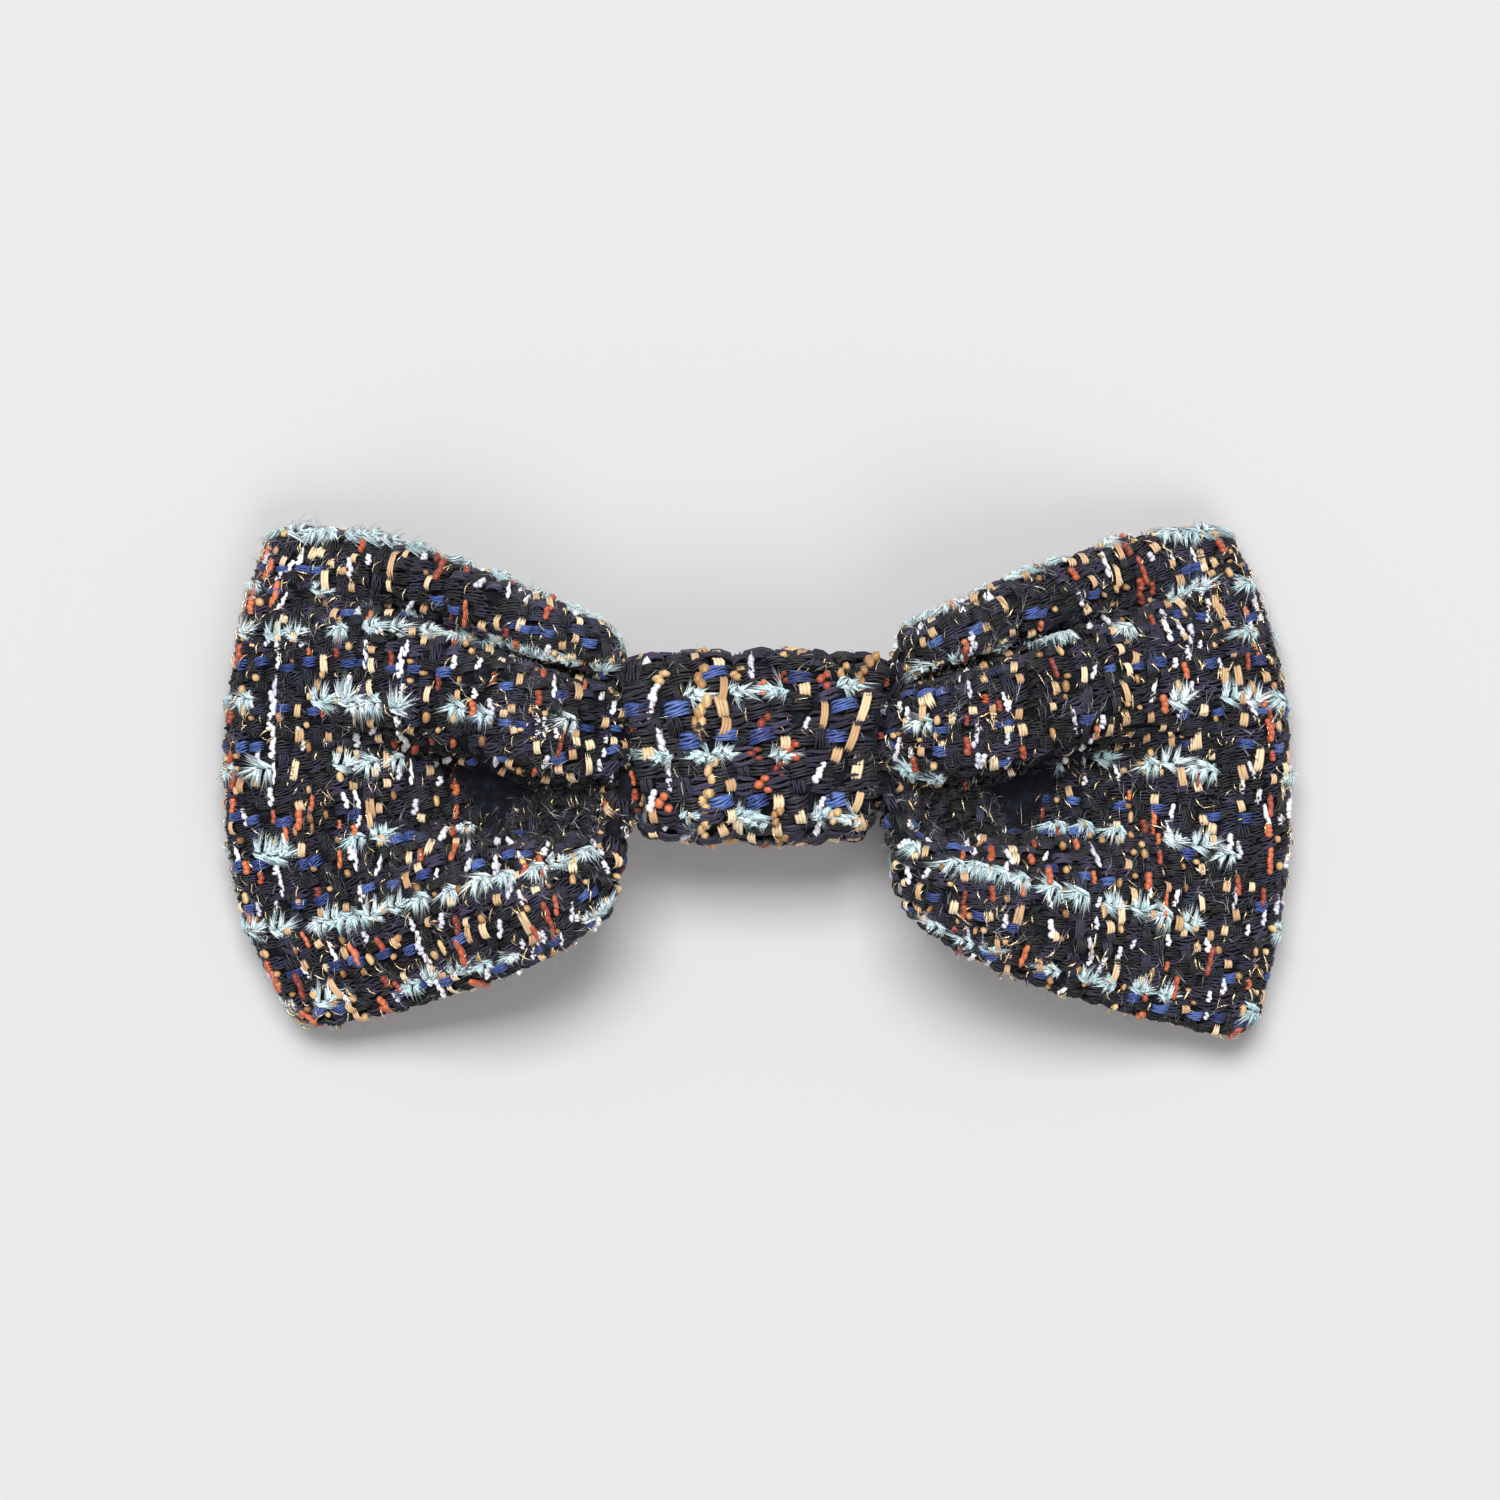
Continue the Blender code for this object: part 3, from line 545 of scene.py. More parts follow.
def ground_material():
    made, tree = new_material("tweed_ground")
    place = add(tree, COORDINATES).outputs["Object"]
    sockets = {"Vector": place, "Scale": 900.0, "Detail": 4.0, "Roughness": 0.7}
    tufts = add(tree, NOISE, sockets)
    patches = add(tree, NOISE, {"Vector": place, "Scale": 260.0, "Detail": 2.0})
    navy = [(0.36, "#030305"), (0.55, "#0b0e17"), (0.72, "#1d2338")]
    purple = [(0.36, "#040306"), (0.55, "#100d18"), (0.72, "#2a2440")]
    dark = add(tree, RAMP, {"Fac": tufts}, stops=navy)
    plum = add(tree, RAMP, {"Fac": tufts}, stops=purple)
    sockets = {"Value": patches, "From Min": 0.46, "From Max": 0.58}
    where_plum = add(tree, "ShaderNodeMapRange", sockets)
    colour = add(tree, MIX, {0: where_plum, 6: dark, 7: plum}, data_type="RGBA")
    bump = add(tree, BUMP, {"Height": tufts, "Strength": 0.8, "Distance": 0.0004})
    sockets = {"Base Color": colour, "Roughness": 0.9, "Specular IOR Level": 0.2, "Normal": bump}
    finish_material(tree, sockets)
    return made


GROUND = ground_material()
ROWS, FACE, HEM = (360, 56, 8)
LUMP = 0.00035


def cloth_rows(count):
    """Stations along the loop, from one end of the strip to the other, as a column of an array."""
    first = JOIN_GAP / 2 / float(fold_reach(1.0, 0.0))
    return np.linspace(first, 6 - first, count)[:, None]


def close_ends(mesh, rows, columns):
    """Joins the outer skin to the slot at both ends of the strip, where its raw edges would be."""
    bm = bmesh.new()
    bm.from_mesh(mesh)
    bm.verts.ensure_lookup_table()
    for outer_row, slot_row in ((0, 2 * rows - 1), (rows - 1, rows)):
        for i in range(columns):
            j = (i + 1) % columns
            ring = [outer_row * columns + i, outer_row * columns + j]
            ring += [slot_row * columns + j, slot_row * columns + i]
            bm.faces.new([bm.verts[k] for k in ring])
    bmesh.ops.recalc_face_normals(bm, faces=bm.faces)
    bm.to_mesh(mesh)
    bm.free()
    mesh.shade_smooth()


def make_loop_cloth():
    strip = (cloth_rows(ROWS), *section(FACE, HEM))
    skin = loop_skin(*strip)
    inside = loop_skin(*strip, depth=SLOT / 2, inset=SLOT_INSET)
    skin = skin + unit(skin - inside) * wool_relief(skin, LUMP, 3)[..., None]
    mesh = grid_mesh("bow_cloth", [(skin, False, True), (inside[::-1], False, True)])
    close_ends(mesh, *skin.shape[:2])
    return new_piece("bow_cloth", mesh, GROUND)


bow_cloth = make_loop_cloth()
print("bow cloth", len(bow_cloth.data.polygons), "faces")

# %% [markdown]
# ## The canvas inside
#
# A strip of hair canvas lies in the slot between the two layers and keeps the wings open. Only a
# sliver of it can be seen at the join, but it is part of how the tie is made.

# %% Canvas


def canvas_material():
    made, tree = new_material("unbleached_canvas")
    place = add(tree, COORDINATES).outputs["Object"]
    weave = []
    for turn in (0.0, math.pi / 2):
        turned = add(tree, MAPPING, {"Vector": place, "Rotation": (0.0, 0.0, turn)})
        sockets = {"Vector": turned, "Scale": 400.0, "Distortion": 0.4}
        weave.append(add(tree, "ShaderNodeTexWave", sockets).outputs["Fac"])
    crossed = add(tree, "ShaderNodeMath", {0: weave[0], 1: weave[1]}, operation="MAXIMUM")
    shades = [(0.2, "#8d8270"), (0.7, "#cfc6b2"), (1.0, "#e0d8c6")]
    colour = add(tree, RAMP, {"Fac": crossed}, stops=shades)
    bump = add(tree, BUMP, {"Height": crossed, "Strength": 0.5, "Distance": 0.0001})
    finish_material(tree, {"Base Color": colour, "Roughness": 0.9, "Normal": bump})
    return made


def make_loop_canvas():
    strip = (cloth_rows(200), *section(40, 1))
    grid = loop_skin(*strip, depth=INTERLINING / 2, inset=SLOT_INSET)
    return new_piece("bow_canvas", grid_mesh("bow_canvas", [(grid, False, True)]), CANVAS)


CANVAS = canvas_material()
bow_canvas = make_loop_canvas()

# %% [markdown]
# ## The knot band
#
# The band is a folded strip of the same tweed, wrapped once round the pinch. Pulled tight over the
# gathered cloth, its section is a rectangle with generous corners, and it draws in a little towards
# its lower end, where the wings' folds press less.

# %% Knot surface
KNOT_SQUARE = 3.6  # the section's exponent: 2 is an oval, more is squarer
KNOT_CROWN = 0.0007
KNOT_HALF_WIDTHS = (0.0122, 0.0140)  # at the bottom and at the top
KNOT_LOW_Z, KNOT_HIGH_Z = knot_low.z + PILE, knot_high.z - PILE
KNOT_HALF_Y = (knot_high.y - knot_low.y) / 2 - PILE
KNOT_AROUND = 240
KNOT_GROOVES = ((-0.0024, 0.0013, 0.0007), (0.0079, 0.0011, 0.0005))  # place, width, depth


def knot_round(depth):
    """Points and outward directions, evenly spaced round the band's section at a depth inside."""
    turn = np.linspace(0, 2 * np.pi, 2001)
    ring = np.stack([np.cos(turn), np.sin(turn)])
    ring = np.sign(ring) * np.abs(ring) ** (2 / KNOT_SQUARE)
    y = KNOT_RISE + (KNOT_HALF_Y - depth) * ring[0]
    z = (KNOT_HIGH_Z + KNOT_LOW_Z) / 2 + ((KNOT_HIGH_Z - KNOT_LOW_Z) / 2 - depth) * ring[1]
    run = np.concatenate([[0], np.cumsum(np.hypot(np.diff(y), np.diff(z)))])
    even = np.linspace(0, run[-1], KNOT_AROUND, endpoint=False)
    y, z = np.interp(even, run, y), np.interp(even, run, z)
    along = np.stack([np.roll(y, -1) - np.roll(y, 1), np.roll(z, -1) - np.roll(z, 1)], axis=-1)
    along = unit(along)
    return y, z, along[:, 1], -along[:, 0]


def knot_skin(u, angle, edge, half_thick=BAND / 2, inset=0.0):
    """Rows go round the band and columns across it, from u -1 to 1, as for the loop."""
    y, z, out_y, out_z = (column[:, None] for column in knot_round(BAND / 2))
    share = ease(KNOT_RISE - KNOT_HALF_Y, KNOT_RISE + KNOT_HALF_Y, y)
    half = mix(*KNOT_HALF_WIDTHS, share) - BAND / 2 - inset
    crown = KNOT_CROWN * (u * u) * np.cos(angle)
    x = u * half + edge * np.sin(angle) * half_thick
    grooves = sum(depth * np.exp(-(((x - at) / wide) ** 2)) for at, wide, depth in KNOT_GROOVES)
    off = (half_thick - grooves) * np.cos(angle) - crown
    x, off = np.broadcast_arrays(x, off)
    return np.stack([x, y + out_y * off, z + out_z * off], axis=-1)


def make_knot_cloth():
    strip = section(44, 6)
    skin = knot_skin(*strip)
    hollow = knot_skin(*strip, half_thick=0.00012, inset=0.0008)
    mesh = grid_mesh("knot_cloth", [(skin, True, True), (hollow[::-1], True, True)])
    point_outwards(mesh)
    return new_piece("knot_cloth", mesh, GROUND)


knot_cloth = make_knot_cloth()
print("knot cloth", len(knot_cloth.data.polygons), "faces")

# %% [markdown]
# ## A map of the weave
#
# To lay yarns on a folded cloth, each one needs a place, the direction of the warp and of the weft
# there, and which way is out. A fine grid of the skin gives all four by interpolation. The weft,
# which runs along the bow, has a yarn every 1.35 mm, and the warp one every 1.6 mm.

# %% Weave map
WARP_PITCH = 0.0016
WEFT_PITCH = 0.00135


class WeaveMap:
    """Looks up places on a grid of points whose rows are warp yarns and columns are weft yarns."""

    def __init__(self, grid, outward_hint, crease_shade=0.0):
        self.grid = grid
        # crease_shade: how deep each place lies in a crease, where the weave paints shade with dark
        # floats
        self.crease_shade = np.broadcast_to(crease_shade, grid.shape[:2])
        along = unit(np.gradient(grid, axis=0))
        across = unit(np.gradient(grid, axis=1))
        out = unit(np.cross(along, across)) * outward_hint
        self.fields = np.concatenate([grid, along, across, out], axis=-1)
        row = grid[:, grid.shape[1] // 2]
        steps = np.linalg.norm(np.diff(row, axis=0), axis=1)
        self.row_run = np.concatenate([[0], np.cumsum(steps)])
        steps = np.linalg.norm(np.diff(grid, axis=1), axis=2)
        column = np.percentile(steps, 90, axis=0)
        self.column_run = np.concatenate([[0], np.cumsum(column)])
        self.cell = np.linalg.norm(np.gradient(grid, axis=1), axis=2) / np.gradient(self.column_run)

    def size(self):
        return self.row_run[-1], self.column_run[-1]

    def look_up(self, a, b):
        """Places, directions along, across and out, at distances a and b; then how gathered the
        cloth is there, and how deep it lies in a fold, where shade is painted with dark floats."""
        i = np.interp(a, self.row_run, np.arange(len(self.row_run)))
        j = np.interp(b, self.column_run, np.arange(len(self.column_run)))
        i0 = np.clip(i.astype(int), 0, self.grid.shape[0] - 2)
        j0 = np.clip(j.astype(int), 0, self.grid.shape[1] - 2)
        fi, fj = (i - i0)[..., None], (j - j0)[..., None]
        f = self.fields
        value = mix(
            mix(f[i0, j0], f[i0 + 1, j0], fi),
            mix(f[i0, j0 + 1], f[i0 + 1, j0 + 1], fi),
            fj,
        )
        place, along, across, out = (value[..., k : k + 3] for k in (0, 3, 6, 9))
        return place, unit(along), unit(across), unit(out), self.cell[i0, j0], self.crease_shade[i0, j0]


def loop_map():
    """The loop's outer face, with both hems and the first of the inner face beyond them."""
    face = np.linspace(-1, 1, 90)
    inner = np.linspace(0.80, 1, 8)[:-1]
    turn = np.linspace(0, np.pi, 12)[1:-1]
    w = np.concatenate([-inner, -np.ones(10), face, np.ones(10), inner[::-1]])
    angle = np.concatenate([0 * inner + np.pi, turn[::-1], 0 * face, turn, 0 * inner + np.pi])
    edge = np.concatenate([0 * inner, -np.ones(10), 0 * face, np.ones(10), 0 * inner])
    along = cloth_rows(900)
    d = (3 - np.where(along <= 3, along, 6 - along)) * BOW_WIDTH / 2
    fading = ease(VALLEY_START + VALLEY_RUN / 2, VALLEY_END, d)
    near = ease(0, KNOT_SIDE, d) * (1 - fading) * (d < BOW_WIDTH / 2)
    # How deep each place on the outer face lies in a crease near the knot, for painted shade
    crease_shade = np.clip(-1.6 * pleat(d, w), 0, 1) * near * (angle == 0)
    return WeaveMap(loop_skin(along, w, angle, edge), -1.0, crease_shade)


def knot_map():
    """The band's outer face and hems. Rows run across the bow, so its warp goes round the band."""
    face = np.linspace(-1, 1, 60)
    turn = np.linspace(0, np.pi * 0.8, 7)[1:]
    u = np.concatenate([-np.ones(6), face, np.ones(6)])
    angle = np.concatenate([turn[::-1], 0 * face, turn])
    edge = np.concatenate([-np.ones(6), 0 * face, np.ones(6)])
    grid = knot_skin(u, angle, edge)
    grid = np.concatenate([grid, grid[:1]], axis=0)
    return WeaveMap(np.swapaxes(grid, 0, 1), -1.0)


bow_weave = loop_map()
knot_weave = knot_map()
for name, weave in (("bow", bow_weave), ("knot", knot_weave)):
    print(name, [f"{size * 1000:.1f} mm" for size in weave.size()])

# %% [markdown]
# ## Yarn shapes
#
# Each float of yarn is a small closed shape, lying along X with its outer side towards +Z and its
# ends dipping into the cloth. A strand is a thin tube that tapers to its ends. The shapes below are
# made of strands: spun bundles, flat ribbon, wavy bouclé, knotted nubs, and the pile of the
# eyelash and chenille yarns. Each kind has a few variants, so that its pieces differ.

# %% Yarn shapes
MM = 0.001


def strand(path, half_width, half_height=None, sides=3, flat_ends=False):
    """A closed tube along a path: (points, faces, UVs). It tapers to a point at each end."""
    path = np.asarray(path, dtype=float)
    half_height = half_width if half_height is None else half_height
    along = unit(np.gradient(path, axis=0))
    side = unit(np.cross([0.0, 0.05, 1.0], along) + [0, 1e-9, 0])
    up = np.cross(along, side)
    last = len(path) - 1
    points, faces, uvs = [path[0]], [], []
    for i in range(1, last):
        swell = 1.0 if flat_ends else 0.55 + 0.45 * math.sin(math.pi * i / last)
        for k in range(sides):
            turn = 2 * math.pi * k / sides
            off = side[i] * math.cos(turn) * half_width + up[i] * math.sin(turn) * half_height
            points.append(path[i] + off * swell)
    points.append(path[-1])
    end = len(points) - 1
    for k in range(sides):
        after, v0, v1 = (k + 1) % sides, k / sides, (k + 1) / sides
        faces.append((0, 1 + after, 1 + k))
        uvs.append(((0, v0), (1 / last, v1), (1 / last, v0)))
        for i in range(last - 2):
            start = 1 + i * sides
            faces.append((start + k, start + after, start + sides + after, start + sides + k))
            u0, u1 = (i + 1) / last, (i + 2) / last
            uvs.append(((u0, v0), (u0, v1), (u1, v1), (u1, v0)))
        start = 1 + (last - 2) * sides
        faces.append((start + k, start + after, end))
        uvs.append((((last - 1) / last, v0), ((last - 1) / last, v1), (1, v0)))
    return points, faces, uvs


def shape(name, parts):
    """One mesh from many strands. Each strand's V is shifted, so that its fibres are its own."""
    points, faces, uvs = [], [], []
    for number, (part_points, part_faces, part_uvs) in enumerate(parts):
        start = len(points)
        points += [tuple(point) for point in part_points]
        faces += [tuple(start + k for k in face) for face in part_faces]
        uvs += [(u + 0.37 * number, v + number) for face in part_uvs for u, v in face]
    mesh = bpy.data.meshes.new(name)
    mesh.from_pydata(points, [], faces)
    layer = mesh.uv_layers.new(name="yarn")
    layer.uv.foreach_set("vector", np.array(uvs, dtype=np.float32).ravel())
    point_outwards(mesh)
    mesh.shade_smooth()
    return bpy.data.objects.new(name, mesh)


def bundle(chance, count, length, width, height, thick, twist=0.0, wave=0.0, rings=3):
    """Strands side by side, arching over the yarn that they cross."""
    s = np.linspace(-1, 1, rings + 2)
    parts = []
    for k in range(count):
        place = (k + 0.5) / count * 2 - 1
        turn = place * math.pi / 2 + twist * s
        y = np.sin(turn) * width / 2 + chance.normal(0, wave, len(s))
        rise = height * (1 - np.abs(s) ** 2.4) * (0.72 + 0.28 * np.cos(turn))
        z = rise - 0.22 * MM * s**4 + chance.normal(0, wave * 0.6, len(s))
        x = s * length / 2 * chance.uniform(0.92, 1.06)
        parts.append(strand(np.stack([x, y, z], axis=1), thick * chance.uniform(0.85, 1.15)))
    return parts


def ribbon(chance, length, width, height):
    """Three flat tapes, almost touching, as a ribbon yarn's filaments lie."""
    s = np.linspace(-1, 1, 5)
    parts = []
    for k in (-1, 0, 1):
        y = k * width * 0.3 + chance.normal(0, 0.03 * MM, 5)
        z = height * (1 - np.abs(s) ** 3) - 0.25 * MM * s**4
        path = np.stack([s * length / 2 * chance.uniform(0.94, 1.05), y, z], axis=1)
        parts.append(strand(path, width * 0.2, width * 0.11, sides=4, flat_ends=True))
    return parts


def nub(chance, lobes, length, width, height, sides=5):
    """A knotted yarn: round lobes of unequal size in a row."""
    parts = []
    for k in range(lobes):
        centre = (k + 0.5) / lobes * 2 - 1
        size = length / lobes * chance.uniform(0.55, 0.80)
        s = np.array([-1.0, -0.62, 0.0, 0.62, 1.0])
        bend = chance.normal(0, 0.12 * MM)
        x = centre * length / 2 * 0.9 + s * size
        y = (0.24 * (-1) ** k + chance.normal(0, 0.14)) * width + bend * s
        z = height * chance.uniform(0.42, 0.62) - 0.05 * MM * s**2
        path = np.stack([x, np.broadcast_to(y, 5), np.broadcast_to(z, 5)], axis=1)
        parts.append(strand(path, width / 2 * chance.uniform(0.8, 1.1), height / 2, sides))
    return parts


def tuft(chance, petals, hairs, core, reach, rise, thick, one_sided=0.0, fan=1.0, spread=0.6):
    """Pile: soft petals and fine hairs that start along a short core and flare out and up."""
    parts = []
    for k in range(petals + hairs):
        fine = k >= petals
        turn = chance.normal(math.pi / 2 * fan, spread)
        if chance.random() > one_sided:
            turn = -turn
        long = reach * chance.uniform(0.55, 1.0) * (1.25 if fine else 1.0)
        lift = rise * chance.uniform(0.25, 1.0)
        way = np.array([math.cos(turn), math.sin(turn), 0.0])
        curl = np.array([chance.normal(0, 0.18 * long), 0.0, 0.0])
        start = np.array([chance.uniform(-core / 2, core / 2), 0.0, 0.05 * MM]) - way * long * 0.2
        path = [start, start + way * long * 0.45 + [0, 0, lift], start + way * long * 1.2 + curl]
        path[2] = path[2] + [0, 0, lift * 0.55]
        half = thick * 0.22 if fine else thick * chance.uniform(0.7, 1.2)
        parts.append(strand(path, half, half * 0.45, sides=3, flat_ends=True))
    return parts


def make_shapes():
    chance = np.random.default_rng(21)
    made = {}

    def collect(kind, variants):
        group = bpy.data.collections.new(kind)
        for number, parts in enumerate(variants):
            group.objects.link(shape(f"{kind}_{number}", parts))
        made[kind] = group

    worsted = (2.8 * MM, 1.25 * MM, 0.72 * MM, 0.165 * MM)
    twisted = (2.6 * MM, 0.95 * MM, 0.85 * MM, 0.135 * MM)
    sliver = (1.7 * MM, 0.2 * MM, 0.45 * MM, 0.085 * MM)
    collect("ground", [bundle(chance, 5, *worsted, 0.5, 0.06 * MM) for _ in range(6)])
    collect("purple", [bundle(chance, 5, *worsted, 0.3, 0.15 * MM) for _ in range(5)])
    collect("blue", [bundle(chance, 5, *twisted, 0.9, 0.05 * MM) for _ in range(5)])
    collect("tan", [ribbon(chance, 2.4 * MM, 1.0 * MM, 0.9 * MM) for _ in range(5)])
    collect("white", [nub(chance, 4, 2.2 * MM, 0.7 * MM, 0.9 * MM, 4) for _ in range(6)])
    lobes = (1, 2, 3, 3)
    collect("gold", [nub(chance, k, 0.75 * MM * k, 1.0 * MM, 1.1 * MM) for k in lobes])
    collect("orange", [nub(chance, k, 0.7 * MM * k, 0.9 * MM, 1.0 * MM) for k in lobes])
    eyelash = (1.5 * MM, 1.6 * MM, 0.8 * MM, 0.14 * MM, 0.80, 0.45, 0.85)
    collect("eyelash", [tuft(chance, 8, 4, *eyelash) for _ in range(12)])
    chenille = (1.7 * MM, 1.2 * MM, 0.9 * MM, 0.13 * MM, 0.5, 1.0)
    collect("chenille", [tuft(chance, 6, 3, *chenille) for _ in range(6)])
    collect("lurex", [bundle(chance, 1, *sliver, 0.0, 0.05 * MM) for _ in range(3)])
    hair = (1.0 * MM, 2.2 * MM, 1.0 * MM, 0.11 * MM, 0.5, 0.6)
    collect("hair", [tuft(chance, 0, 3, *hair) for _ in range(6)])
    return made


shapes = make_shapes()

# %% [markdown]
# ## Laying the yarns
#
# One node tree lays any kind of yarn. It takes points that carry the yarn's direction and the
# cloth's outward direction, turns a shape to them, adds the hand's unevenness, and joins the
# results into one mesh with a finish. A random tint is stored on every float. The variant is
# picked once for a whole piece, so the unevenness inside it comes from turning and stretching.

# %% Scatter tree
SCATTER_INPUTS = (
    ("Shapes", "NodeSocketCollection"),
    ("Variants", "NodeSocketInt"),
    ("Length", "NodeSocketFloat"),
    ("Width", "NodeSocketFloat"),
    ("Height", "NodeSocketFloat"),
    ("Size Spread", "NodeSocketFloat"),
    ("Turn Spread", "NodeSocketFloat"),
    ("Seed", "NodeSocketInt"),
    ("Finish", "NodeSocketMaterial"),
)


def make_scatter():
    tree = bpy.data.node_groups.new("lay_yarn", "GeometryNodeTree")
    face = tree.interface
    face.new_socket("Geometry", in_out="INPUT", socket_type="NodeSocketGeometry")
    for name, kind in SCATTER_INPUTS:
        face.new_socket(name, in_out="INPUT", socket_type=kind)
    face.new_socket("Geometry", in_out="OUTPUT", socket_type="NodeSocketGeometry")

    given = add(tree, "NodeGroupInput").outputs
    out, along, stretch = (
        add(tree, "GeometryNodeInputNamedAttribute", {"Name": name}, data_type="FLOAT_VECTOR")
        for name in ("out", "along", "stretch")
    )
    align = "FunctionNodeAlignRotationToVector"
    chance = "FunctionNodeRandomValue"
    number = "ShaderNodeMath"
    vector = "ShaderNodeCombineXYZ"
    seeds = {
        offset: add(tree, number, {0: given["Seed"], 1: offset}, operation="ADD")
        for offset in (5.0, 13.0, 71.0)
    }

    upright = add(tree, align, {"Vector": out}, axis="Z")
    sockets = {"Rotation": upright, "Vector": along}
    aimed = add(tree, align, sockets, axis="X", pivot_axis="Z")
    spread = given["Turn Spread"]
    low = add(tree, number, {0: spread, 1: -1.0}, operation="MULTIPLY")
    most = add(tree, vector, {"X": spread, "Y": 0.04, "Z": spread})
    least = add(tree, vector, {"X": low, "Y": -0.04, "Z": low})
    sockets = {"Min": least, "Max": most, "Seed": given["Seed"]}
    turn = add(tree, chance, sockets, data_type="FLOAT_VECTOR")
    turn = add(tree, "FunctionNodeEulerToRotation", {"Euler": turn})
    sockets = {"Rotation": aimed, "Rotate By": turn}
    rotation = add(tree, "FunctionNodeRotateRotation", sockets, rotation_space="LOCAL")

    size = add(tree, vector, {"X": given["Length"], "Y": given["Width"], "Z": given["Height"]})
    small = add(tree, number, {0: 1.0, 1: given["Size Spread"]}, operation="SUBTRACT")
    large = add(tree, number, {0: 1.0, 1: given["Size Spread"]}, operation="ADD")
    sockets = {"Min": small, "Max": large, "Seed": seeds[71.0]}
    uneven = add(tree, chance, sockets, data_type="FLOAT_VECTOR")
    for factor in (stretch, uneven):
        size = add(tree, "ShaderNodeVectorMath", {0: size, 1: factor}, operation="MULTIPLY")

    top = add(tree, number, {0: given["Variants"], 1: 1.0}, operation="SUBTRACT")
    index = add(tree, chance, {4: 0, 5: top, "ID": seeds[13.0]}, data_type="INT")
    sockets = {"Collection": given["Shapes"], "Separate Children": True, "Reset Children": True}
    forms = add(tree, "GeometryNodeCollectionInfo", sockets)
    sockets = {
        "Points": given["Geometry"],
        "Instance": forms,
        "Pick Instance": True,
        "Instance Index": index,
        "Rotation": rotation,
        "Scale": size,
    }
    laid = add(tree, "GeometryNodeInstanceOnPoints", sockets)
    tint = add(tree, chance, {"Seed": seeds[5.0]}, data_type="FLOAT")
    sockets = {"Geometry": laid, "Name": "tint", "Value": tint}
    store = "GeometryNodeStoreNamedAttribute"
    stored = add(tree, store, sockets, data_type="FLOAT", domain="INSTANCE")
    real = add(tree, "GeometryNodeRealizeInstances", {"Geometry": stored})
    done = add(tree, "GeometryNodeSetMaterial", {"Geometry": real, "Material": given["Finish"]})
    add(tree, "NodeGroupOutput", {0: done})
    return tree


SCATTER = make_scatter()
TABLE_GAP = 0.00003
PRESSED = 0.01


def lay(name, kind, sites, seed, **factors):
    """A plain mesh of yarns of one kind at sites: (places, along, out, stretch) arrays. Pile that
    would pass through the table is pressed flat on it."""
    places, along, out, stretch = sites
    mesh = bpy.data.meshes.new(name)
    mesh.vertices.add(len(places))
    mesh.vertices.foreach_set("co", places.astype(np.float32).ravel())
    fields = {"along": along, "out": out, "stretch": stretch}
    for label, values in fields.items():
        field = mesh.attributes.new(label, "FLOAT_VECTOR", "POINT")
        field.data.foreach_set("vector", values.astype(np.float32).ravel())
    holder = bpy.data.objects.new(name + "_sites", mesh)
    bpy.context.scene.collection.objects.link(holder)
    modifier = holder.modifiers.new("lay_yarn", "NODES")
    modifier.node_group = SCATTER
    values = {
        "Shapes": shapes[kind],
        "Variants": len(shapes[kind].objects),
        "Length": 1.0,
        "Width": 1.0,
        "Height": 1.0,
        "Size Spread": 0.18,
        "Turn Spread": 0.18,
        "Seed": seed,
        "Finish": FINISHES[kind],
        **factors,
    }
    for item in SCATTER.interface.items_tree:
        if item.in_out == "INPUT" and item.name in values:
            modifier[item.identifier] = values[item.name]
    graph = bpy.context.evaluated_depsgraph_get()
    laid = bpy.data.meshes.new_from_object(holder.evaluated_get(graph))
    laid.name = name
    bpy.data.objects.remove(holder)
    bpy.data.meshes.remove(mesh)
    for label in fields:
        if label in laid.attributes:
            laid.attributes.remove(laid.attributes[label])
    points = np.empty(len(laid.vertices) * 3)
    laid.vertices.foreach_get("co", points)
    z = points[2::3]
    points[2::3] = np.where(z < TABLE_GAP, TABLE_GAP + z * PRESSED, z)
    laid.vertices.foreach_set("co", points)
    laid.update()
    return new_piece(name, laid, FINISHES[kind])


# %% [markdown]
# ## The weave
#
# The tweed is a plain weave: at each crossing either the weft or the warp is on top, turn by turn.
# The weft repeats a row of fourteen yarns and the warp a row of sixteen. Where the cloth is
# gathered the yarns are pressed closer, so their floats grow narrower and some sink out of sight.
# In the deepest creases by the knot most floats are made black or dark navy, as painted shade.

# %% Weave plan
WEFTS = ["ground", "eyelash", "ground", "blue", "purple", "ground", "ground", "blue", "eyelash"]
WEFTS += ["purple", "ground", "blue", "ground", "purple"]
WARPS = ["tan", "ground", "white", "orange", "ground", "gold", "tan", "ground", "white", "ground"]
WARPS += ["gold", "orange", "chenille", "tan", "white", "chenille"]
STRAYS = {"ground": 0.22, "gold": 0.23, "orange": 0.11, "tan": 0.26, "white": 0.18}
STRAY_SHARE = 0.52  # of the warp floats, those that aren't the repeat's own
DULLED = {"blue": (0.45, "ground"), "eyelash": (0.38, "purple")}  # share, and what it becomes
# Painted shade: this share of the floats deep in the creases is made black or dark navy
PAINTED_SHADE_SHARE = 0.92  # of the floats in the deepest folds, those that are dark
WANDER = (0.17, 0.15)  # how far a yarn strays from its line, in warp and in weft pitches
OUT_OF_TURN = 0.15  # share of crossings where the wrong yarn is on top
GATHERED = (0.12, 1.15)  # least and most room that a yarn has, as a share of its pitch
LONG_FLOATS = {0.9: 0.35, 1.1: 0.35, 1.6: 0.2, 2.0: 0.1}  # how long a warp float is, and how often
FILLED = 0.55  # share of the gaps between floats where a lower yarn shows


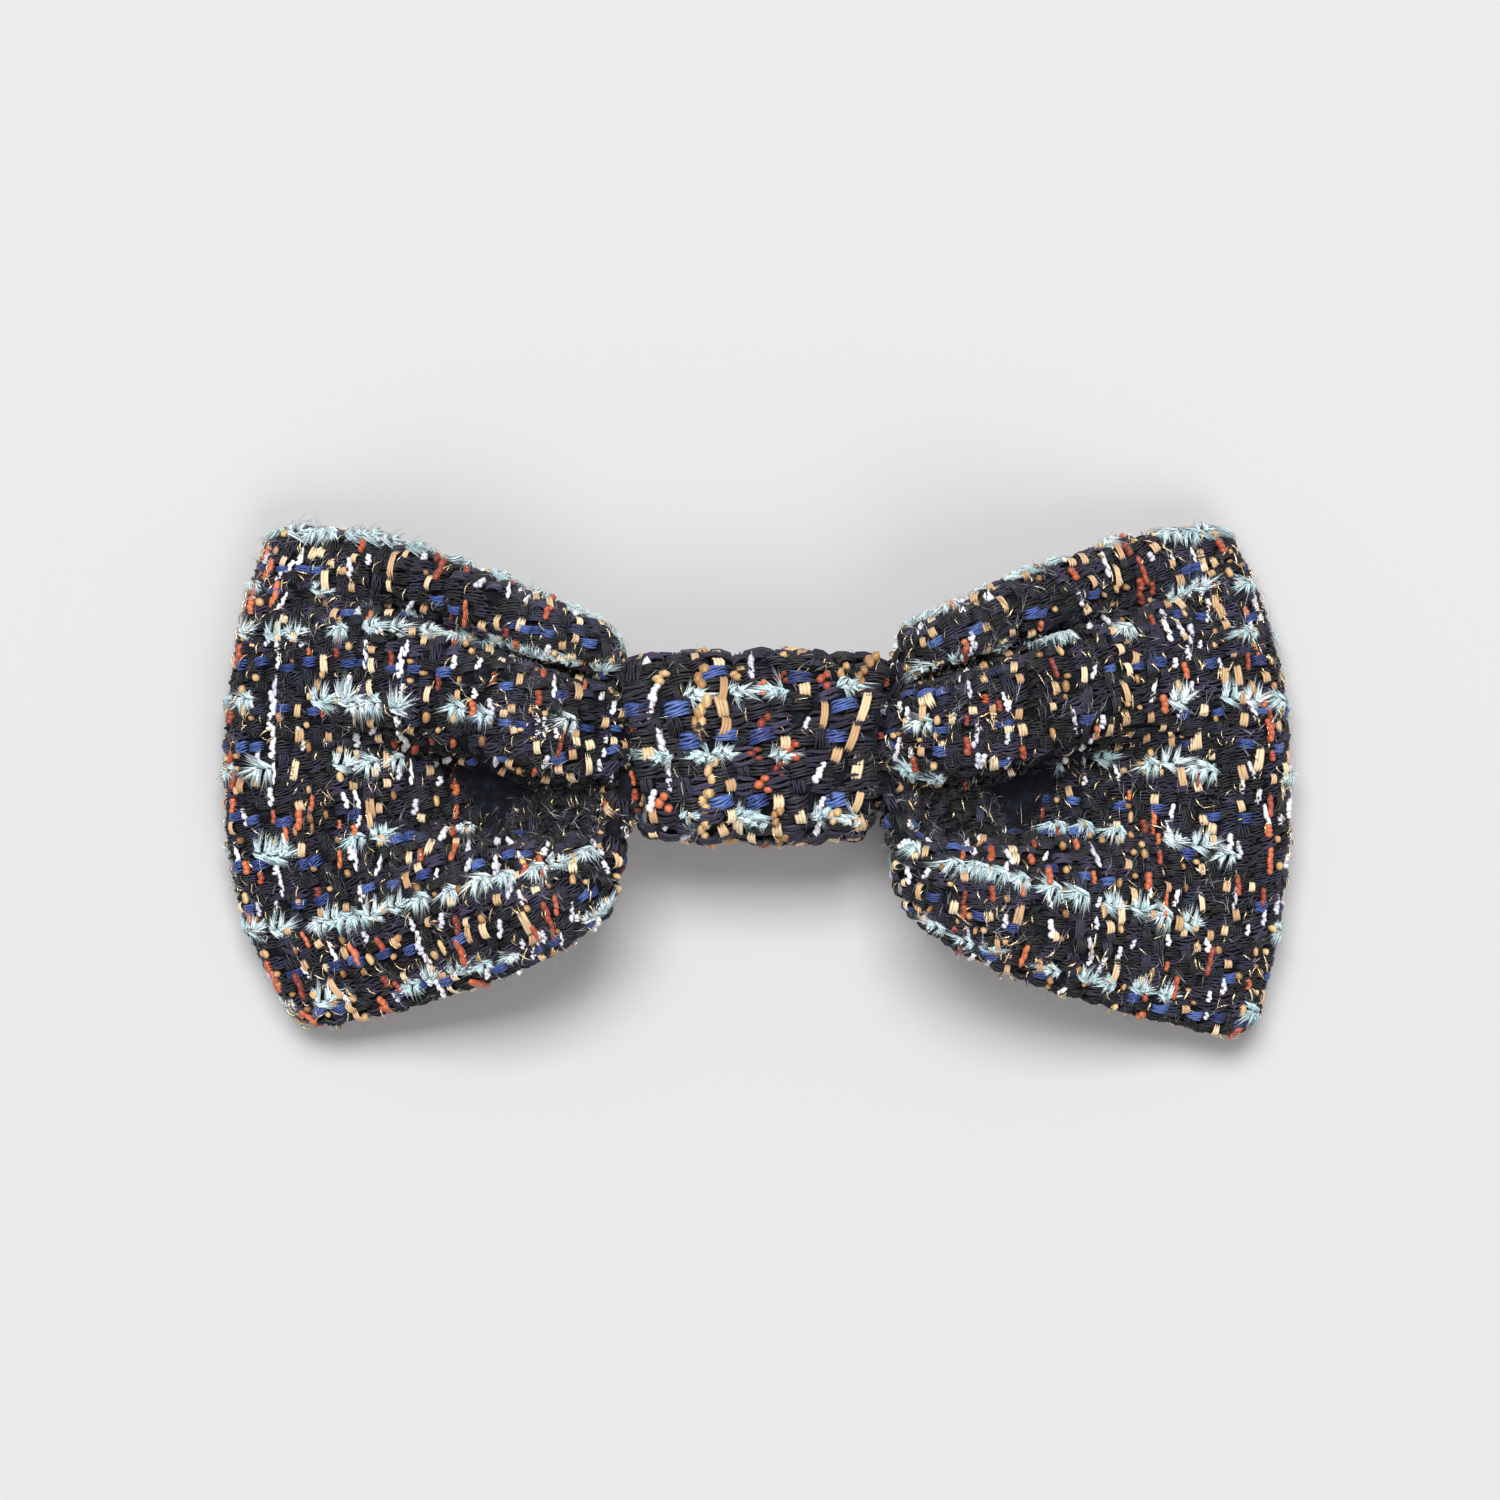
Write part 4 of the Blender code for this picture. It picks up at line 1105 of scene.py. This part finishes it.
def plan_weave(weave, seed, visible, wefts, warps, scale=1.0):
    """Sites by kind. visible says which places are worth a yarn; scale enlarges the whole weave."""
    chance = np.random.default_rng(seed)
    long, wide = weave.size()
    warp, weft = WARP_PITCH * scale, WEFT_PITCH * scale
    i, j = np.meshgrid(np.arange(int(long / warp)), np.arange(int(wide / weft)), indexing="ij")
    i, j = i.ravel(), j.ravel()
    a = (i + 0.5 + chance.normal(0, WANDER[0], i.size)) * warp
    b = (j + 0.5 + chance.normal(0, WANDER[1], i.size)) * weft
    place, along, across, out, gathered, crease_shade = weave.look_up(a, b)
    weft_up = ((i + j) % 2 == 0) ^ (chance.random(i.size) < OUT_OF_TURN)
    pressed = np.clip(gathered, *GATHERED)
    seen = visible(place) & (chance.random(i.size) < np.clip(pressed * 1.9, 0.30, 1))
    kinds = np.where(weft_up, np.take(wefts, j % len(wefts)), np.take(warps, i % len(warps)))
    stray = chance.random(i.size)
    other_warp = chance.choice(list(STRAYS), i.size, p=list(STRAYS.values()))
    kinds = np.where(~weft_up & (stray < STRAY_SHARE), other_warp, kinds)
    for kind, (share, duller) in DULLED.items():
        kinds = np.where(weft_up & (kinds == kind) & (stray < share), duller, kinds)
    # Painted shade: floats deep in the creases become black chenille or dark worsted
    painted_shade_floats = chance.random(i.size) < PAINTED_SHADE_SHARE * crease_shade
    kinds = np.where(painted_shade_floats, np.where(stray < 0.5, "chenille", "ground"), kinds)
    found = {}
    for kind in sorted(set(wefts + warps)):
        chosen = seen & (kinds == kind)
        is_weft = weft_up[chosen]
        narrow = np.sqrt(pressed[chosen])
        way = np.where(is_weft[:, None], along[chosen], across[chosen])
        odds = list(LONG_FLOATS.values())
        long_float = chance.choice(list(LONG_FLOATS), chosen.sum(), p=odds)
        length = np.where(is_weft, 1.0, 0.80 * narrow * long_float)
        width = np.where(is_weft, np.maximum(narrow, 0.45), 0.85)
        size = np.stack([length, width, np.where(is_weft, 1.0, 0.9)], axis=1) * scale
        found[kind] = [place[chosen], way, out[chosen], size]
    found["spare"] = [place[seen], along[seen], across[seen], out[seen]]

    filler = visible(place) & (chance.random(i.size) < FILLED * pressed)
    a, b = a[filler] + warp / 2, b[filler] + weft / 2
    place, along, across, out, gathered, _ = weave.look_up(a, b)
    narrow = np.sqrt(np.clip(gathered, GATHERED[0], 1.0))[:, None] * np.array([[0.0, 1.0, 0.0]])
    size = (narrow + np.array([[1.0, 0.0, 0.75]])) * scale
    under = [place - out * 0.0002, along, out, size]
    found["ground"] = [np.concatenate(pair) for pair in zip(found["ground"], under)]
    return found


def extra_sites(spare, count, seed, lift, upright):
    """Sites picked from the spare ones for slivers and loose hairs."""
    chance = np.random.default_rng(seed)
    place, along, across, out = spare
    pick = chance.integers(0, len(place), count)
    turn = chance.normal(math.pi / 2 if upright else 0.0, 0.5, count)[:, None]
    way = along[pick] * np.cos(turn) + across[pick] * np.sin(turn)
    shift = chance.normal(0, 0.0006, (count, 2))
    spot = place[pick] + along[pick] * shift[:, :1] + across[pick] * shift[:, 1:]
    return [spot + out[pick] * lift, way, out[pick], np.ones((count, 3))]


def all_round(place):
    return np.ones(len(place), dtype=bool)


def clear_of_knot(place):
    return np.abs(place[:, 0]) > KNOT_SIDE - 0.0022


KNOT_WARPS = ["tan", "white", "ground", "gold", "tan", "chenille", "orange", "gold", "tan"]
KNOT_WARPS += ["white", "chenille", "tan", "white"]
KNOT_WEFTS = ["ground", "purple", "ground", "ground", "blue", "eyelash", "blue", "purple", "blue"]
KNOT_WEFTS += ["eyelash", "ground", "purple", "blue", "eyelash", "ground", "purple", "ground"]
KNOT_WEFTS += ["purple"]
bow_sites = plan_weave(bow_weave, 5, clear_of_knot, WEFTS, WARPS)
knot_sites = plan_weave(knot_weave, 8, all_round, KNOT_WEFTS, KNOT_WARPS, 1.28)
for name, sites in (("bow", bow_sites), ("knot", knot_sites)):
    print(name, {kind: len(found[0]) for kind, found in sites.items()})

# %% [markdown]
# Now the yarns are laid, kind by kind. Pile yarns get several tufts at each place, so that they
# look dense. Loose hairs and slivers of metal are strewn over the whole cloth. The commonest kinds
# are split by side and face, because one piece of them would be too heavy to handle.

# %% Lay the yarns
YARN_NAMES = {
    "ground": "worsted",
    "purple": "crimped_wool",
    "blue": "viscose_twist",
    "tan": "ribbon",
    "white": "boucle",
    "gold": "gold_nubs",
    "orange": "rust_nubs",
    "eyelash": "eyelash",
    "chenille": "chenille",
    "lurex": "lurex",
    "hair": "loose_fibres",
}
FACTORS = {
    "eyelash": {"Length": 1.2, "Width": 1.4, "Height": 1.1, "Size Spread": 0.45},
    "lurex": {"Turn Spread": 0.45, "Size Spread": 0.45},
    "white": {"Turn Spread": 0.35, "Size Spread": 0.25},
    "tan": {"Turn Spread": 0.25, "Size Spread": 0.22},
    "hair": {"Turn Spread": 0.6, "Size Spread": 0.4},
    "gold": {"Size Spread": 0.3},
    "orange": {"Size Spread": 0.3},
}
KNOT_FACTORS = {"blue": {"Length": 1.2, "Width": 1.15}, "eyelash": {"Length": 1.0, "Width": 1.1}}
TUFTS_PER_SITE = {"eyelash": 12, "chenille": 6}
LOOSE = {"lurex": (1, 0.0005, True), "hair": (2, 0.0002, False)}  # seed step, lift, upright


def regions(part, kind, places, out):
    """Which sites go into which piece: the commonest kinds by side, and worsted by face too."""
    right, front = places[:, 0] > 0, out[:, 2] > 0
    sides = {"_right": right, "_left": ~right}
    if part == "bow" and kind == "ground":
        faces = {"_front": front, "_back": ~front}
        return {f + s: faces[f] & sides[s] for f in faces for s in sides}
    if part == "bow" and kind in ("purple", "eyelash"):
        return sides
    return {"": right | ~right}


yarns = []
for part, sites, seed in (("bow", bow_sites, 100), ("knot", knot_sites, 300)):
    amount = len(sites["spare"][0]) // 3
    for kind, (step, lift, upright) in LOOSE.items():
        sites[kind] = extra_sites(sites["spare"], amount, seed + step, lift, upright)
    for kind, copies in TUFTS_PER_SITE.items():
        side = np.random.default_rng(seed).choice([-1.0, 1.0], (len(sites[kind][0]), 1))
        sites[kind][1] = sites[kind][1] * side
        sites[kind] = [np.repeat(values, copies, axis=0) for values in sites[kind]]
    for number, kind in enumerate(YARN_NAMES):
        factors = dict(FACTORS.get(kind, {}))
        if part == "knot":
            factors.update(KNOT_FACTORS.get(kind, {}))
        for region, chosen in regions(part, kind, sites[kind][0], sites[kind][2]).items():
            name = f"{part}_{YARN_NAMES[kind]}{region}"
            picked = [values[chosen] for values in sites[kind]]
            yarns.append(lay(name, kind, picked, seed + 10 * number, **factors))

for yarn in yarns:
    triangles = sum(len(face.vertices) - 2 for face in yarn.data.polygons)
    print(yarn.name, triangles, "triangles")
for group in shapes.values():
    for item in list(group.objects):
        shape_mesh = item.data
        bpy.data.objects.remove(item)
        bpy.data.meshes.remove(shape_mesh)
    bpy.data.collections.remove(group)

# %% [markdown]
# ## Thread, steel and the table
#
# The sewing thread is a dark twisted cotton. The clip is stamped from nickel-plated steel: a bright
# metal with faint rolling lines and softly blurred highlights.

# %% Plain finishes


def thread_material():
    made, tree = new_material("twisted_cotton_thread")
    place = add(tree, COORDINATES).outputs["Object"]
    turned = add(tree, MAPPING, {"Vector": place, "Rotation": (0.6, 0.8, 0.5)})
    sockets = {"Vector": turned, "Scale": 700.0, "Distortion": 0.6}
    plies = add(tree, "ShaderNodeTexWave", sockets).outputs["Fac"]
    shades = [(0.1, "#0d0e13"), (0.6, "#1d202c"), (1.0, "#2c3042")]
    colour = add(tree, RAMP, {"Fac": plies}, stops=shades)
    bump = add(tree, BUMP, {"Height": plies, "Strength": 0.6, "Distance": 0.00008})
    finish_material(tree, {"Base Color": colour, "Roughness": 0.75, "Normal": bump})
    return made


def steel_material():
    made, tree = new_material("nickel_plated_steel")
    place = add(tree, COORDINATES).outputs["Object"]
    rolled = add(tree, MAPPING, {"Vector": place, "Scale": (30.0, 1400.0, 1400.0)})
    lines = add(tree, NOISE, {"Vector": rolled, "Scale": 1.0, "Detail": 3.0})
    worn = add(tree, NOISE, {"Vector": place, "Scale": 240.0, "Detail": 3.0})
    rough = add(tree, "ShaderNodeMapRange", {"Value": worn, "To Min": 0.22, "To Max": 0.38})
    shades = [(0.3, "#b9b7b2"), (0.7, "#d5d3ce")]
    colour = add(tree, RAMP, {"Fac": worn}, stops=shades)
    bump = add(tree, BUMP, {"Height": lines, "Strength": 0.15, "Distance": 0.00002})
    sockets = {"Base Color": colour, "Metallic": 1.0, "Roughness": rough, "Normal": bump}
    finish_material(tree, sockets)
    return made


def table_material():
    made, tree = new_material("white_paper")
    sockets = {"Base Color": srgb("#b0b0b2"), "Roughness": 0.95, "Specular IOR Level": 0.1}
    finish_material(tree, sockets)
    return made


THREAD_FINISH = thread_material()
STEEL = steel_material()
BARE_FINISHES = {
    "clip_tack": THREAD_FINISH,
    "band_stitch": THREAD_FINISH,
    "loop_stitch": THREAD_FINISH,
    "gather_thread": THREAD_FINISH,
    "bow_loop": GROUND,
    "knot_band": GROUND,
    "bow_interlining": CANVAS,
    "knot_interlining": CANVAS,
    "clip_": STEEL,
}
for node in frame["nodes"].values():
    finishes = [finish for start, finish in BARE_FINISHES.items() if node.name.startswith(start)]
    node.data.materials.clear()
    node.data.materials.append(finishes[0])
table.data.materials.append(table_material())

# %% [markdown]
# ## The clip's spring
#
# A torsion spring winds up when the clip opens: one leg stays on the base and the other goes with
# the lever, and the coil between them shares the turn. The solid's own shape is right, so a copy of
# it is taken and its corners are merged.

# %% Spring
def make_spring():
    node = frame["nodes"]["clip_spring"]
    mesh = node.data.copy()
    mesh.transform(node.matrix_world)
    bm = bmesh.new()
    bm.from_mesh(mesh)
    bmesh.ops.remove_doubles(bm, verts=bm.verts, dist=1e-7)
    bm.to_mesh(mesh)
    bm.free()
    mesh.name = "torsion_spring"
    return new_piece("torsion_spring", mesh, STEEL)


spring = make_spring()
print("spring", len(spring.data.vertices), "corners")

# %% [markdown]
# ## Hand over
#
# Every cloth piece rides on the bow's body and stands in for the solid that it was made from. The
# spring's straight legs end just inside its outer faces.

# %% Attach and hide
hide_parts("bow_loop")
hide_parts("bow_interlining")
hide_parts("knot_band")
for piece, slot in ((bow_cloth, "tweed"), (knot_cloth, "tweed"), (bow_canvas, "canvas")):
    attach(piece, "bow")
for yarn in yarns:
    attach(yarn, "bow")
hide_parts("clip_spring")
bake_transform(spring)
